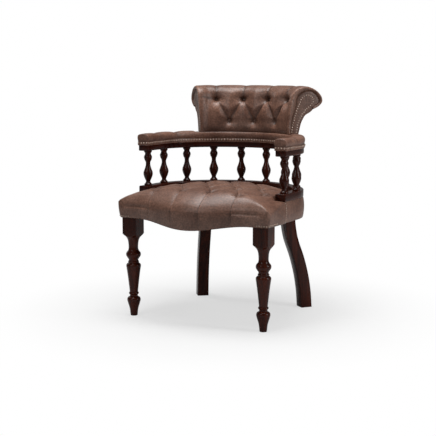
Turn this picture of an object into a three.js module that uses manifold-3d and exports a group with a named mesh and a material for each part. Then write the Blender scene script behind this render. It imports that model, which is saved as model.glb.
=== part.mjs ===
// Captain's chair: turned mahogany frame, spindle gallery between two hoops,
// deep-buttoned leather seat and a scrolled, buttoned back. Millimetres, +Z up, front towards -Y.
import * as THREE from 'three';
import { mergeVertices } from 'three/addons/utils/BufferGeometryUtils.js';
import Module from 'manifold-3d';

const wasm = await Module();
wasm.setup();

// Fits
const fit = 0.3;            // gap between two touching pieces
const boreFit = 0.4;        // radial play of a tenon or dowel in its bore
const leather = 3;          // hide with its thin backing

// Hoop line, shared by the seat frame, both hoops and the arm pad (plan view)
const backRadius = 282;     // centre line of the back arc
const cornerRadius = 200;   // centre line of the side arcs that run into the arms
const joinAngle = 61.6;     // degrees from straight back, where the two arcs meet
const armStraight = 103;    // straight length at the front of each arm
const armSetback = 93;      // arm's front end behind the front legs' axes
const hoopWidth = 38;
const lowerHoopDepth = 25;
const upperHoopDepth = 25;
const hoopRound = 2.5;      // softened edges of both hoops

// Heights
const frameTop = 424.6;     // top of the seat rails and leg posts
const frameBottom = 360.3;
const deckThickness = 1.5;   // canvas under the foam
const deckMargin = 5;       // its edge inside the frame's outer face
const edgeRound = 20;       // frame's top edge eased off in front of the arms
const edgeRun = 25;         // length over which the leather eases in
const railEase = 17;        // length over which the side rail's edge does
const spindleHeight = 126;  // shoulder to shoulder

// Front legs
const legBlock = 56.4;      // square blank
const blockBottom = 296;
const frontLegSides = 12;

// Back legs
const backLegAngle = 39;    // degrees from straight back
const backLegWidth = 42;
const backLegDepth = 42;
const backLegSetIn = 7;     // its middle at the frame, inside the hoop line

// Seat rails
const railOuter = 13.7;     // rail's outer face outside the hoop line
const railThickness = 25;
const frontRailThickness = 28;
const seatBow = 45;         // how far the front rail bows forward
const bowHalfWidth = 225;
const apronDrop = 20;       // how far the rail dips at its middle
const tenonThickness = 12;
const tenonHeight = 40;
const tenonLength = 22;
const frontTenonInset = 14;  // its middle behind the front rail's face
const blockReach = 62;      // legs of a corner block's angle
const blockThickness = 12;
const blockClear = 8;       // between a corner block and the frame's top and bottom

// Seat upholstery
const crownRise = 48.4;     // top of the seat's crown over the frame, before it is buttoned
const bulgeRise = 29.7;     // widest line of the seat over the frame's lower edge
const crownFall = 0.58;     // how steeply the crown falls away at its edge
const seatBulge = 22;       // how far the front corners swell past the frame
const noseBulge = 12;       // how far the front swells past its rail
const tuftPitchX = 104;
const tuftPitchY = 85;
const tuftFrontY = 0;       // front row of seat buttons
const seatMiddleY = 175;    // point that the seat's plan shrinks towards
const seatTuftDepth = 12;
const tuftSpread = 14;      // how fast the hollow round a seat button fades
const seatPleatDepth = 3.5;
const seatPleatSpread = 9;
const seatPadding = 27;     // padded layer over the foam
const bandSwell = 4.5;      // how far the band round the sides swells
const bandLap = 5;          // how far the seat leather laps the band's front ends
const noseRadius = 34;      // rounding of the front corners in plan
const hemRadius = 9;        // the same at the leather's lower edge
const foamShare = 0.76;     // foam's plan as a share of the seat's, at its foot and its top
const foamTopShare = 0.6;
const foamSkirt = 6;        // upright part of the foam's side
const tuftMargin = 38;      // no button nearer to the lower hoop than this
const dustCoverThickness = 1.5;

// Spindles
const spindleCount = 10;
const spindleInset = 31.7;  // end spindles behind the hoops' front ends
const spindleTenon = 7;     // radius
const spindleTenonLength = 14;
const spindleSides = 8;

// Arm pad
const padSkirt = 10;        // how far the leather laps down the hoop
const padHeight = 36.5;     // crown above the hoop's top face
const padDip = 4;
const padThickness = 14;    // leather and wadding over the foam
const pleatSpread = 14;
const flatMargin = 26;      // pad pressed flat this far beyond the back rest's ends

// Back rest, a body turned about the back arc's centre
const backAngle = 43;       // half angle between its two end faces
const footSetIn = 11;       // its front face at the foot, inside the hoops' centre line
const backHeight = 174;     // foot to crest
const backFootDepth = 36;
const scrollReach = 124;    // how far the scroll leans back past the foot's front
const tuftAngle = 20;
const lowerTuft = 0.2356;   // heights of its two rows of buttons, as shares of the back's height
const upperTuft = 0.7184;
const lowerTuftOut = 6;     // buttons behind the foot's front face
const upperTuftOut = 40;
const backTuftSpread = 24;
const pleatDepth = 5;
const backPleatSpread = 10;
const facingRecess = 1.5;   // facing below the leather's lip
const facingThickness = 3;
const endBoard = 20;
const backPanelThickness = 5;

// Buttons
const buttonRadius = 8;
const buttonHeight = 4;
const buttonSink = 2;       // how far a button sits in the leather
const buttonSides = 8;

const mahogany = { color: 0x2a0b05, roughness: 0.25, metalness: 0 };
const beech = { color: 0xb08a5c, roughness: 0.7, metalness: 0 };
const hide = { color: 0x6b5449, roughness: 0.45, metalness: 0 };
const foam = { color: 0xd8cfae, roughness: 0.95, metalness: 0 };
const canvas = { color: 0x9a8462, roughness: 0.95, metalness: 0 };
const cambric = { color: 0x151515, roughness: 0.95, metalness: 0 };
const steel = { color: 0x8d8f92, roughness: 0.35, metalness: 1 };

const degrees = Math.PI / 180;
const join = joinAngle * degrees;
const halfWidth = (backRadius - cornerRadius) * Math.sin(join) + cornerRadius;
const cornerX = halfWidth - cornerRadius;
const cornerY = armSetback + armStraight;
const centreY = cornerY - (backRadius - cornerRadius) * Math.cos(join);
const backArc = backRadius * join;
const cornerArc = cornerRadius * (Math.PI / 2 - join);
const hoopHalfLength = backArc + cornerArc + armStraight;

const frameHalf = halfWidth + railOuter;
const legX = frameHalf - legBlock / 2;
const railInner = railOuter - railThickness;
const backFoot = backRadius - footSetIn;
const crownHeight = frameTop + crownRise;
const seatBulgeHeight = frameBottom + bulgeRise;
const deckTop = frameTop + fit + deckThickness;
const lowerHoopBottom = deckTop + leather + 0.4;
const lowerHoopTop = lowerHoopBottom + lowerHoopDepth;
const upperHoopBottom = lowerHoopTop + spindleHeight + 2 * fit;
const upperHoopTop = upperHoopBottom + upperHoopDepth;
const padBottom = upperHoopTop - padSkirt;
const padTop = upperHoopTop + padHeight;
const backFootZ = padTop - padDip;

const group = new THREE.Group();

function add(name, geometry, look) {
  const mesh = new THREE.Mesh(geometry, new THREE.MeshStandardMaterial(look));
  mesh.name = name;
  group.add(mesh);
}

// Solids

function welded(geometry) {
  const bare = geometry.index ? geometry.clone() : geometry;
  bare.deleteAttribute('normal');
  bare.deleteAttribute('uv');
  return mergeVertices(bare, 1e-4);
}

function signedVolume(position, index) {
  const a = new THREE.Vector3();
  const b = new THREE.Vector3();
  const c = new THREE.Vector3();
  let sum = 0;
  for (let i = 0; i < index.length; i += 3) {
    a.fromBufferAttribute(position, index[i]);
    b.fromBufferAttribute(position, index[i + 1]);
    c.fromBufferAttribute(position, index[i + 2]);
    sum += a.dot(b.cross(c));
  }
  return sum / 6;
}

// A closed mesh as a solid, turned outward if it was wound inward
function solid(geometry) {
  const bare = welded(geometry);
  const triangles = Uint32Array.from(bare.index.array);
  if (signedVolume(bare.attributes.position, triangles) < 0) triangles.reverse();
  return new wasm.Manifold(new wasm.Mesh({
    numProp: 3,
    vertProperties: Float32Array.from(bare.attributes.position.array),
    triVerts: triangles,
  }));
}

function geometryOf(body) {
  const mesh = body.getMesh();
  const geometry = new THREE.BufferGeometry();
  geometry.setAttribute('position', new THREE.BufferAttribute(mesh.vertProperties, 3));
  geometry.setIndex(new THREE.BufferAttribute(mesh.triVerts, 1));
  return geometry;
}

function cut(body, ...tools) {
  return tools.reduce((left, tool) => left.subtract(tool), body);
}

// Skin through closed rings of equal count, with flat ends
function loft(rings) {
  const count = rings[0].length;
  const points = rings.flat();
  const index = [];
  for (let r = 0; r + 1 < rings.length; r++) {
    for (let i = 0; i < count; i++) {
      const a = r * count + i;
      const b = r * count + ((i + 1) % count);
      index.push(a, b, a + count, b, b + count, a + count);
    }
  }
  const last = (rings.length - 1) * count;
  for (const [p, q, s] of endFaces(rings[0])) index.push(s, q, p);
  for (const [p, q, s] of endFaces(rings[rings.length - 1])) index.push(last + p, last + q, last + s);
  const geometry = new THREE.BufferGeometry();
  const values = points.flatMap((p) => p.toArray());
  geometry.setAttribute('position', new THREE.Float32BufferAttribute(values, 3));
  geometry.setIndex(index);
  return solid(geometry);
}

// Triangles that fill a flat ring, wound as the ring runs
function endFaces(ring) {
  const origin = ring[0];
  const normal = new THREE.Vector3();
  for (let i = 1; i + 1 < ring.length; i++) {
    const u = ring[i].clone().sub(origin);
    const v = ring[i + 1].clone().sub(origin);
    normal.add(u.cross(v));
  }
  normal.normalize();
  const across = new THREE.Vector3(-normal.y, normal.x, 0);
  if (across.length() < 0.01) across.set(1, 0, 0);
  across.normalize();
  const along = normal.clone().cross(across);
  const flat = ring.map((p) => {
    const from = p.clone().sub(origin);
    return new THREE.Vector2(from.dot(across), from.dot(along));
  });
  return THREE.ShapeUtils.triangulateShape(flat, []);
}

// Upright prism over a plan outline
function prism(outline, bottom, top) {
  const shape = new THREE.Shape(outline.map(([x, y]) => new THREE.Vector2(x, y)));
  const geometry = new THREE.ExtrudeGeometry(shape, { depth: top - bottom, bevelEnabled: false });
  return solid(geometry.translate(0, 0, bottom));
}

function box(x0, x1, y0, y1, z0, z1) {
  return prism([[x0, y0], [x1, y0], [x1, y1], [x0, y1]], z0, z1);
}

// Body turned about a vertical axis, from [height, radius] pairs
function turned(profile, sides, x = 0, y = 0) {
  const points = profile.map(([z, r]) => new THREE.Vector2(r, z));
  points.unshift(new THREE.Vector2(0, profile[0][0]));
  points.push(new THREE.Vector2(0, profile[profile.length - 1][0]));
  const geometry = new THREE.LatheGeometry(points, sides);
  return solid(geometry.rotateX(Math.PI / 2).translate(x, y, 0));
}

function rod(x, y, z0, z1, radius, sides = spindleSides) {
  return turned([[z0, radius], [z1, radius]], sides, x, y);
}

function mirrored(body) {
  return body.mirror([1, 0, 0]);
}

// Hoop line

// Point, and outward direction, at a distance s along the line from its middle at the back
function hoopAt(s) {
  const side = Math.sign(s) || 1;
  const far = Math.abs(s);
  let x;
  let y;
  let angle;
  if (far <= backArc) {
    angle = far / backRadius;
    x = backRadius * Math.sin(angle);
    y = centreY + backRadius * Math.cos(angle);
  } else if (far <= backArc + cornerArc) {
    angle = join + (far - backArc) / cornerRadius;
    x = cornerX + cornerRadius * Math.sin(angle);
    y = cornerY + cornerRadius * Math.cos(angle);
  } else {
    angle = Math.PI / 2;
    x = halfWidth;
    y = cornerY - (far - backArc - cornerArc);
  }
  return { x: side * x, y, nx: side * Math.sin(angle), ny: Math.cos(angle) };
}

function hoopPoint(s, offset, z) {
  const at = hoopAt(s);
  return new THREE.Vector3(at.x + at.nx * offset, at.y + at.ny * offset, z);
}

const backSteps = 20;
const cornerSteps = 4;
const padSteps = 4;         // on each straight arm, for the pad's pleats

// Distances shared by all that follows the hoop line, so that nested pieces have matching facets
function hoopStations(straightSteps) {
  const half = [];
  for (let i = 0; i <= backSteps / 2; i++) half.push((2 * backArc * i) / backSteps);
  for (let i = 1; i <= cornerSteps; i++) half.push(backArc + (cornerArc * i) / cornerSteps);
  for (let i = 1; i <= straightSteps; i++) {
    half.push(backArc + cornerArc + (armStraight * i) / straightSteps);
  }
  return [...half.slice(1).reverse().map((s) => -s), ...half];
}

const stations = hoopStations(1);

function stationsBetween(from, to) {
  return [from, ...stations.filter((s) => s > from + 1 && s < to - 1), to];
}

// The same point on the straight facet between the two stations beside it
function facetPoint(s, offset, z) {
  const next = stations.findIndex((station) => station > s);
  if (next <= 0) return hoopPoint(s, offset, z);
  const from = stations[next - 1];
  const share = (s - from) / (stations[next] - from);
  return hoopPoint(from, offset, z).lerp(hoopPoint(stations[next], offset, z), share);
}

// Section of [offset, height] pairs swept along part of the hoop line
function sweptAlongHoop(section, list = stations) {
  return loft(list.map((s) => {
    const points = typeof section === 'function' ? section(s) : section;
    return points.map(([offset, z]) => facetPoint(s, offset, z));
  }));
}

// Plan outline grown beyond the frame's outer faces, and drawn in at the front where its top edge is eased
function framePlan(grow, inset = 0) {
  const side = frameHalf + grow - inset;
  const front = inset - grow;
  const bow = bowStations.map((x) => [x, frontFace(x) + front]);
  const rim = [...stations].reverse().map((s) => hoopPoint(s, railOuter + grow, 0)).map((p) => [p.x, p.y]);
  const cornerFront = front - legBlock / 2;
  const eased = armSetback - edgeRun;
  return [[-side, cornerFront], ...bow, [side, cornerFront], [side, eased], ...rim, [-side, eased]];
}

// Envelope of the frame, grown beyond its upright faces, with the eased edge moved out by some play
function frameMould(grow, play, foot, top) {
  const ring = (inset, z) => framePlan(grow, inset).map(([x, y]) => new THREE.Vector3(x, y, z));
  const eased = frameTop - edgeRound + play * Math.SQRT2;
  const mould = loft([ring(0, foot), ring(0, eased - grow), ring(top - eased + grow, top)]);
  return mould.add(mirrored(mould));
}

// Seat frame

// Share of the bow, 1 in the middle and 0 over the legs
function bowShare(x) {
  return Math.abs(x) < bowHalfWidth ? Math.cos((Math.PI * x) / (2 * bowHalfWidth)) ** 2 : 0;
}

function frontFace(x) {
  return -legBlock / 2 - seatBow * bowShare(x);
}

const bowSteps = 18;
const railEndX = legX - legBlock / 2 - fit;
const bowStations = Array.from({ length: bowSteps + 1 }, (_, i) => railEndX * ((2 * i) / bowSteps - 1));

const tenonBottom = (frameTop - edgeRound / 2 + frameBottom - tenonHeight) / 2;
const tenonTop = tenonBottom + tenonHeight;
const sideTenonX = frameHalf - railThickness / 2;
const frontTenonY = frontTenonInset - legBlock / 2;

// Tenon in the back face of the front leg, or its mortise with play
function sideTenon(play) {
  const half = tenonThickness / 2 + play;
  const rear = legBlock / 2 + fit + 1;
  return box(sideTenonX - half, sideTenonX + half, rear - 1 - tenonLength - play, rear,
    tenonBottom - play, tenonTop + play);
}

// Tenon in the inner face of the front leg
function frontTenon(play) {
  const half = tenonThickness / 2 + play;
  return box(railEndX - 1, railEndX + tenonLength + play, frontTenonY - half, frontTenonY + half,
    tenonBottom - play, tenonTop + play);
}

function seatRailFront() {
  const rings = bowStations.map((x) => {
    const front = frontFace(x);
    const back = front + frontRailThickness;
    const bottom = frameBottom - apronDrop * bowShare(x);
    const section = [
      [front, bottom], [front, frameTop - edgeRound], [front + edgeRound, frameTop],
      [back, frameTop], [back, bottom],
    ];
    return section.map(([y, z]) => new THREE.Vector3(x, y, z));
  });
  return loft(rings).add(frontTenon(0)).add(mirrored(frontTenon(0)));
}

// Section of a side or back rail, its top edge eased only in front of the arms
function railSection(s) {
  const ease = Math.min(1, Math.max(0, (Math.abs(s) - hoopHalfLength) / railEase));
  const round = 1 + (edgeRound - 1) * ease;
  return [
    [railInner, frameBottom], [railOuter, frameBottom], [railOuter, frameTop - round],
    [railOuter - round, frameTop], [railInner, frameTop],
  ];
}

const backLegS = backRadius * backLegAngle * degrees;
const backLegHalf = backLegWidth / 2;

// Distance along the hoop line from the leg's middle to where a rail can end against its flat side
const railStop = backRadius * Math.asin((backLegHalf + fit) / (backRadius + railInner));
const frontStop = hoopHalfLength + armSetback - legBlock / 2 - fit;

// Side rail, from the back leg round to the front leg
function seatRailSide() {
  const list = stationsBetween(backLegS + railStop, hoopHalfLength);
  list.push(hoopHalfLength + railEase, frontStop);
  return sweptAlongHoop(railSection, list).add(sideTenon(0));
}

function seatRailBack() {
  return sweptAlongHoop(railSection, stationsBetween(-backLegS + railStop, backLegS - railStop));
}

// Glue block in the angle of the front rail and a side rail, notched round the leg post
function cornerBlock() {
  const inner = frameHalf - railThickness - fit;
  const legInner = legX - legBlock / 2 - fit;
  const legBack = legBlock / 2 + fit;
  const front = frontRailThickness - legBlock / 2 + fit;
  const outline = [
    [legInner, front], [legInner, legBack], [inner, legBack], [inner, legBack + blockReach],
    [inner - blockThickness, legBack + blockReach],
    [legInner - blockReach, front + blockThickness], [legInner - blockReach, front],
  ];
  return prism(outline, frameBottom + blockClear, frameTop - blockClear);
}

// Legs

// Foot, taper, rings and cup of the turned leg, as [height, radius]
const legProfile = [
  [0, 12], [26, 15], [50, 22.5], [60, 23.5], [67, 21], [71.5, 14], [75, 14], [79, 17.5], [83, 16],
  [87, 14.8],
  [138, 20], [174, 25], [180, 26], [187, 24], [191, 19], [195, 19.5], [199, 16.5], [211, 22.5], [221, 26],
  [229, 24.5], [236, 19], [240, 17.2], [256, 17.2], [270, 18.8], [280, 23], [288, 30], [blockBottom, 40.5],
  [frameTop, 40.5],
];

function frontLeg() {
  const half = legBlock / 2;
  const blank = box(legX - half, legX + half, -half, half, -1, frameTop + 1);
  const blankTurned = turned(legProfile, frontLegSides, legX, 0).intersect(blank);
  const shaped = blankTurned.intersect(frameMould(1, 0, -5, frameTop + 1));
  return cut(shaped, sideTenon(boreFit), frontTenon(boreFit));
}

// Sabre curve of the back leg: distance from the back arc's centre against height
function backLegCurve() {
  const sweep = backRadius - backLegSetIn;
  const knots = [[0, 70], [61, 65], [125, 54], [190, 36], [254, 12.5], [303, 2], [350, -2], [frameTop, -2]];
  return new THREE.SplineCurve(knots.map(([z, lean]) => new THREE.Vector2(sweep + lean, z)));
}

const backLegSteps = 14;

function radialPoint(angle, radius, along, z) {
  const sin = Math.sin(angle);
  const cos = Math.cos(angle);
  return new THREE.Vector3(radius * sin + along * cos, centreY + radius * cos - along * sin, z);
}

function backLeg(play = 0) {
  const half = backLegHalf + play;
  const angle = backLegAngle * degrees;
  const rings = backLegCurve().getPoints(backLegSteps).map((p) => {
    const deep = backLegDepth / 2 + play;
    return [[-deep, -half], [deep, -half], [deep, half], [-deep, half]]
      .map(([out, along]) => radialPoint(angle, p.x + out, along, p.y));
  });
  return loft(rings);
}

// Spindles and hoops

const spindlePitch = (2 * (hoopHalfLength - spindleInset)) / (spindleCount - 1);
const spindleMiddle = (spindleCount - 1) / 2;
const spindlePlaces = Array.from({ length: spindleCount }, (_, i) => spindlePitch * (i - spindleMiddle));

// Turned baluster between its two tenons, heights as shares of the length between shoulders
const balusterProfile = [
  [0, 14], [0.04, 13.6], [0.1, 8.6], [0.135, 8.2], [0.2, 11.5], [0.27, 15.6], [0.34, 17], [0.41, 15.5],
  [0.52, 10], [0.6, 8.2], [0.68, 9], [0.76, 12.8], [0.81, 14.3], [0.86, 13], [0.905, 10.6],
  [0.965, 14.2], [1, 14.2],
];

function spindle(s) {
  const at = hoopPoint(s, 0, 0);
  const bottom = lowerHoopTop + fit;
  const top = upperHoopBottom - fit;
  const body = balusterProfile.map(([share, r]) => [bottom + share * (top - bottom), r]);
  const profile = [
    [bottom - spindleTenonLength, spindleTenon], [bottom, spindleTenon], ...body,
    [top, spindleTenon], [top + spindleTenonLength, spindleTenon],
  ];
  return turned(profile, spindleSides, at.x, at.y);
}

// Bores that take the spindles' tenons, opening on one face of a hoop
function spindleBores(z0, z1) {
  return spindlePlaces.map((s) => {
    const at = hoopPoint(s, 0, 0);
    return rod(at.x, at.y, z0, z1, spindleTenon + boreFit);
  });
}

function hoopSection(bottom, top) {
  const half = hoopWidth / 2;
  const r = hoopRound;
  return [
    [-half + r, bottom], [half - r, bottom], [half, bottom + r], [half, top - r],
    [half - r, top], [-half + r, top], [-half, top - r], [-half, bottom + r],
  ];
}

// Dowels that hold the lower hoop down on the seat frame
const hoopDowelRadius = 4;
const hoopDowelLength = 30;
const hoopDowelPlaces = [-4, -3, -1, 1, 3, 4].map((step) => step * spindlePitch);

function hoopDowels(play) {
  const middle = (frameTop + lowerHoopBottom) / 2;
  const half = hoopDowelLength / 2 + play;
  return hoopDowelPlaces.map((s) => {
    const at = hoopPoint(s, 0, 0);
    return rod(at.x, at.y, middle - half, middle + half, hoopDowelRadius + play, buttonSides);
  });
}

function lowerHoop() {
  const body = sweptAlongHoop(hoopSection(lowerHoopBottom, lowerHoopTop));
  const depth = lowerHoopTop - spindleTenonLength;
  return cut(body, ...spindleBores(depth - boreFit, lowerHoopTop + 5), ...hoopDowels(boreFit));
}

function upperHoop() {
  const body = sweptAlongHoop(hoopSection(upperHoopBottom, upperHoopTop));
  const depth = upperHoopBottom + spindleTenonLength;
  return cut(body, ...spindleBores(upperHoopBottom - 5, depth + boreFit), ...backBolts(boreFit));
}

// Bolts that pass up through the upper hoop and the pad into the back rest's foot rail
const boltRadius = 3;
const boltHeadRadius = 6;
const boltHeadHeight = 4;
const boltLength = 64;
const boltPlaces = [-1, 0, 1].map((step) => step * spindlePitch);

function backBolts(play) {
  return boltPlaces.map((s) => {
    const at = hoopPoint(s, boltOffset, 0);
    const head = upperHoopBottom + 0.5;
    return turned([
      [head - (play ? 5 : 0), boltHeadRadius + play], [head + boltHeadHeight + play, boltHeadRadius + play],
      [head + boltHeadHeight + play, boltRadius + play], [head + boltLength + play, boltRadius + play],
    ], buttonSides, at.x, at.y);
  });
}

// Arm pad

// How far the pad's top lies below its crown: pressed flat under the back rest,
// drawn in at the sewn pleats midway between two spindles
function padPleat(s) {
  const underBack = backRadius * backAngle * degrees + flatMargin;
  if (Math.abs(s) < underBack) return padDip + fit;
  const away = s - spindlePitch * Math.round(s / spindlePitch);
  return padDip * Math.exp(-((away / pleatSpread) ** 2));
}

function padSection(s) {
  const dip = padPleat(s);
  const half = hoopWidth / 2 + fit;
  const skin = half + leather;
  const side = [
    [skin, padBottom], [skin + 1, padBottom + 6], [skin - 0.5, padBottom + 12],
    [skin + 1.3, padBottom + 20],
    [skin, padTop - 11], [skin - 7, padTop - 2.5 - dip],
  ];
  return [
    [half, padBottom], ...side, [0, padTop - dip], ...side.reverse().map(([x, z]) => [-x, z]),
    [-half, padBottom], [-half, padTop - padThickness], [half, padTop - padThickness],
  ];
}

function armPadCover() {
  return cut(sweptAlongHoop(padSection, hoopStations(padSteps)), ...backBolts(boreFit));
}

function armPadFoam() {
  const half = hoopWidth / 2 - 0.2;
  const bottom = upperHoopTop + fit;
  return sweptAlongHoop([
    [-half, bottom], [half, bottom], [half, padTop - 14.4], [-half, padTop - 14.4],
  ]);
}

// Back rest

// Lines of the back's section as [out, up]: millimetres behind its front foot, and share of its height.
// They are drawn for a scroll that reaches 124 mm back, and leaned to the real reach.
const drawnReach = 124;

function leaned(knots) {
  return knots.map(([r, up]) => [(r * scrollReach) / drawnReach, up]);
}

const scrollKnots = leaned([
  [82, 0.965], [103, 0.89], [118, 0.79], [122, 0.71], [118, 0.65], [108, 0.59], [90, 0.52],
]);
const endKnots = [...leaned([
  [-8, 0], [-9, 0.13], [-8, 0.3], [-5, 0.47], [-1, 0.61], [5, 0.73], [16, 0.86], [34, 0.965], [59, 1],
]), ...scrollKnots];
const middleKnots = [...leaned([
  [0, 0], [-4, 0.1], [-2, 0.24], [0, 0.4], [5, 0.56], [13, 0.7], [19, 0.8], [28, 0.88], [43, 0.95], [59, 1],
]), ...scrollKnots];
const liningKnots = leaned([
  [11, 0.13], [15, 0.3], [22, 0.45], [36, 0.58], [50, 0.7], [62, 0.8],
  [76, 0.87], [92, 0.85], [106, 0.79], [110, 0.73], [104, 0.68], [94, 0.62], [86, 0.553],
]);
const facingKnots = leaned([
  [2, 0.005], [7, 0.235], [12, 0.385], [21, 0.53], [25, 0.63], [27, 0.75], [37, 0.83], [54, 0.89],
  [73, 0.91], [86, 0.9], [99, 0.85], [110, 0.78], [116, 0.71], [112, 0.655], [104, 0.61],
  [88, 0.553],
]);
const rearKnots = [[backFootDepth - 3, 0.002], ...leaned([
  [38, 0.13], [43, 0.235], [51, 0.33], [60, 0.4], [78, 0.46], [88, 0.512],
])];

function backLine(knots, out = 0) {
  return knots.map(([r, up]) => new THREE.Vector2(backFoot + r + out, backFootZ + up * backHeight));
}

// The rear line from the scroll down to the foot
function rearLine(out) {
  return backLine(rearKnots, out).reverse();
}

// Distance behind the front foot at a height, read off a line that rises
function outAt(knots, up) {
  for (let i = 1; i < knots.length; i++) {
    const [r0, u0] = knots[i - 1];
    const [r1, u1] = knots[i];
    if (up <= u1) return r0 + ((r1 - r0) * (up - u0)) / (u1 - u0);
  }
  return knots[knots.length - 1][0];
}

const boltOffset = backFoot + (liningKnots[0][0] + backFootDepth - 6) / 2 - backRadius;

function backPoint(angle, radius, z) {
  return new THREE.Vector3(radius * Math.sin(angle), centreY + radius * Math.cos(angle), z);
}

// Point on a plane parallel to an end face and some way inside it
function endPoint(side, radius, z, depth) {
  const angle = backAngle * degrees;
  const along = Math.sqrt(radius * radius - depth * depth);
  const x = along * Math.sin(angle) - depth * Math.cos(angle);
  const y = centreY + along * Math.cos(angle) + depth * Math.sin(angle);
  return new THREE.Vector3(side * x, y, z);
}

const tuftSlices = 3;       // slices between a button and its pleat's next column
const sliceStep = (tuftAngle * degrees) / (2 * tuftSlices);

// Section turned about the back's centre, between planes some way inside the two end faces.
// The hidden pieces take every second slice, and so nest in one another.
function sweptBack(section, depth, every = 2) {
  const step = sliceStep * every;
  const widest = backAngle * degrees;
  const clear = widest - Math.asin((Math.max(depth, 0) + 6) / backFoot);
  const most = Math.floor(clear / step);
  const rings = [section(-widest).map((p) => endPoint(-1, p.x, p.y, depth))];
  for (let i = -most; i <= most; i++) {
    rings.push(section(i * step).map((p) => backPoint(i * step, p.x, p.y)));
  }
  rings.push(section(widest).map((p) => endPoint(1, p.x, p.y, depth)));
  return loft(rings);
}

// Flat piece parallel to the right end face, between two depths inside it
function endSlab(line, outer, inner) {
  return loft([outer, inner].map((depth) => line.map((p) => endPoint(1, p.x, p.y, depth))));
}

// Buttons of the back as [angle, share of the height, distance behind the front foot]
const backButtonPlaces = [
  ...[-1, 0, 1].map((step) => [step * tuftAngle * degrees, lowerTuft, lowerTuftOut]),
  ...[-1.5, -0.5, 0.5, 1.5].map((step) => [step * tuftAngle * degrees, upperTuft, upperTuftOut]),
];

// Pleats run between neighbouring buttons, up over the crest and down to the foot
const backPleats = [
  ...[-1, 0, 1].flatMap((step) => [
    [step, lowerTuft, step - 0.5, upperTuft], [step, lowerTuft, step + 0.5, upperTuft],
    [step, 0, step, lowerTuft]]),
  ...[-1.5, -0.5, 0.5, 1.5].map((step) => [step, upperTuft, step, 1]),
];

function distanceToSegment(px, py, ax, ay, bx, by) {
  const along = ((px - ax) * (bx - ax) + (py - ay) * (by - ay)) / ((bx - ax) ** 2 + (by - ay) ** 2);
  const t = Math.min(1, Math.max(0, along));
  return Math.hypot(px - ax - t * (bx - ax), py - ay - t * (by - ay));
}

// How far the front is drawn towards the frame by its buttons and pleats
function backPull(angle, up) {
  const arc = backFoot * tuftAngle * degrees;
  const x = (angle / (tuftAngle * degrees)) * arc;
  const z = up * backHeight;
  let pull = 0;
  for (const [at, share, out] of backButtonPlaces) {
    const reach = Math.hypot(x - backFoot * at, z - share * backHeight) / backTuftSpread;
    const deep = out - outAt(middleKnots, share);
    pull = Math.max(pull, deep * Math.exp(-reach * reach));
  }
  for (const [a, upA, b, upB] of backPleats) {
    const off = distanceToSegment(x, z, a * arc, upA * backHeight, b * arc, upB * backHeight);
    pull = Math.max(pull, pleatDepth * Math.exp(-((off / backPleatSpread) ** 2)));
  }
  return pull;
}

// Heights of the front's rows, with one on each row of buttons and two between for the slanting pleats
const slantSteps = 6;
const slantRise = (upperTuft - lowerTuft) / slantSteps;
const slantRows = Array.from({ length: slantSteps + 1 }, (_, i) => lowerTuft + slantRise * i);
const frontRows = [0, 0.12, ...slantRows, 0.83, 0.95];

function backSkin(angle) {
  const end = Math.abs(angle) / (backAngle * degrees);
  const blend = THREE.MathUtils.smoothstep(end, 0.84, 1);
  const front = frontRows.map((up) => {
    const middle = outAt(middleKnots, up) + backPull(angle, up);
    return [THREE.MathUtils.lerp(middle, outAt(endKnots, up), blend), up];
  });
  return backLine([...front, ...leaned([[59, 1]]), ...scrollKnots]);
}

// Space for the back's frame, open behind, below and at both ends
function backCavity() {
  const below = -0.12;
  const beyond = scrollReach + 20;
  const outline = backLine([
    [liningKnots[0][0], below], ...liningKnots, ...leaned([[91, 0.508]]), [beyond, 0.508], [beyond, below],
  ]);
  return sweptBack(() => outline, -6);
}

// Leather and padding of the front, wrapped over the scroll to its under side and open behind
function backCover() {
  const inside = backLine([...leaned([[76, 0.47]]), [backFootDepth - 8, 0]]);
  const body = sweptBack((angle) => [...backSkin(angle), ...inside], 0, 1);
  const cavity = backCavity();
  const pocket = endSlab(facingOutline(-boreFit), -3, facingRecess + facingThickness + fit);
  const buttons = backButtonPlaces.map((place) => backButton(place, fit));
  return cut(body, cavity, pocket, mirrored(pocket), ...buttons);
}

// Outline that fills an end face inside the leather's lip, or its pocket when the margin is negative
function facingOutline(margin) {
  const front = facingKnots.map(([r, up], i) => {
    const side = i < 6 ? 1 : 0;
    const over = i > 12 ? 0.6 : side ? 0 : -1;
    const out = side ? margin : i > 9 ? -margin : 0;
    return [r + out, up + (over * margin) / backHeight];
  });
  return [...backLine(front), ...rearLine(-leather - fit - margin)];
}

function backFacing() {
  return endSlab(facingOutline(0), facingRecess, facingRecess + facingThickness);
}

const boardDepth = facingRecess + facingThickness + 2 * fit;

// Scroll-shaped board that each end of the back is built on
function backBoard() {
  const front = liningKnots.map(([r, up], i) => {
    if (i < 6) return [r + 1.1, up - 0.004];
    if (i < 9) return [r - 1, up - 0.01];
    return i === 9 ? [r - 2.2, up] : [r - 1.5, up + 0.006];
  });
  const foot = [liningKnots[0][0] + 1.1, 0.002];
  const outline = [...backLine([foot, ...front]), ...rearLine(-leather - 2 * fit)];
  return endSlab(outline, boardDepth, boardDepth + endBoard);
}

const railDepth = boardDepth + endBoard + fit;
const footRailTop = 0.2;

// Rail under the back, bolted down through the arm pad and the upper hoop
function backRailFoot() {
  const front = liningKnots[0][0] + 0.6;
  const gap = leather + 2 * fit;
  const rail = sweptBack(() => backLine([
    [front, 0.002], [outAt(rearKnots, 0.002) - gap, 0.002], [outAt(rearKnots, 0.13) - gap, 0.13],
    [outAt(rearKnots, footRailTop) - gap, footRailTop], [front + 2, footRailTop],
  ]), railDepth);
  return cut(rail, ...backBolts(boreFit));
}

// Rail inside the scroll
function backRailTop() {
  return sweptBack(() => backLine(leaned([[62, 0.7], [87, 0.6], [102, 0.74], [82, 0.82]])), railDepth);
}

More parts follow.
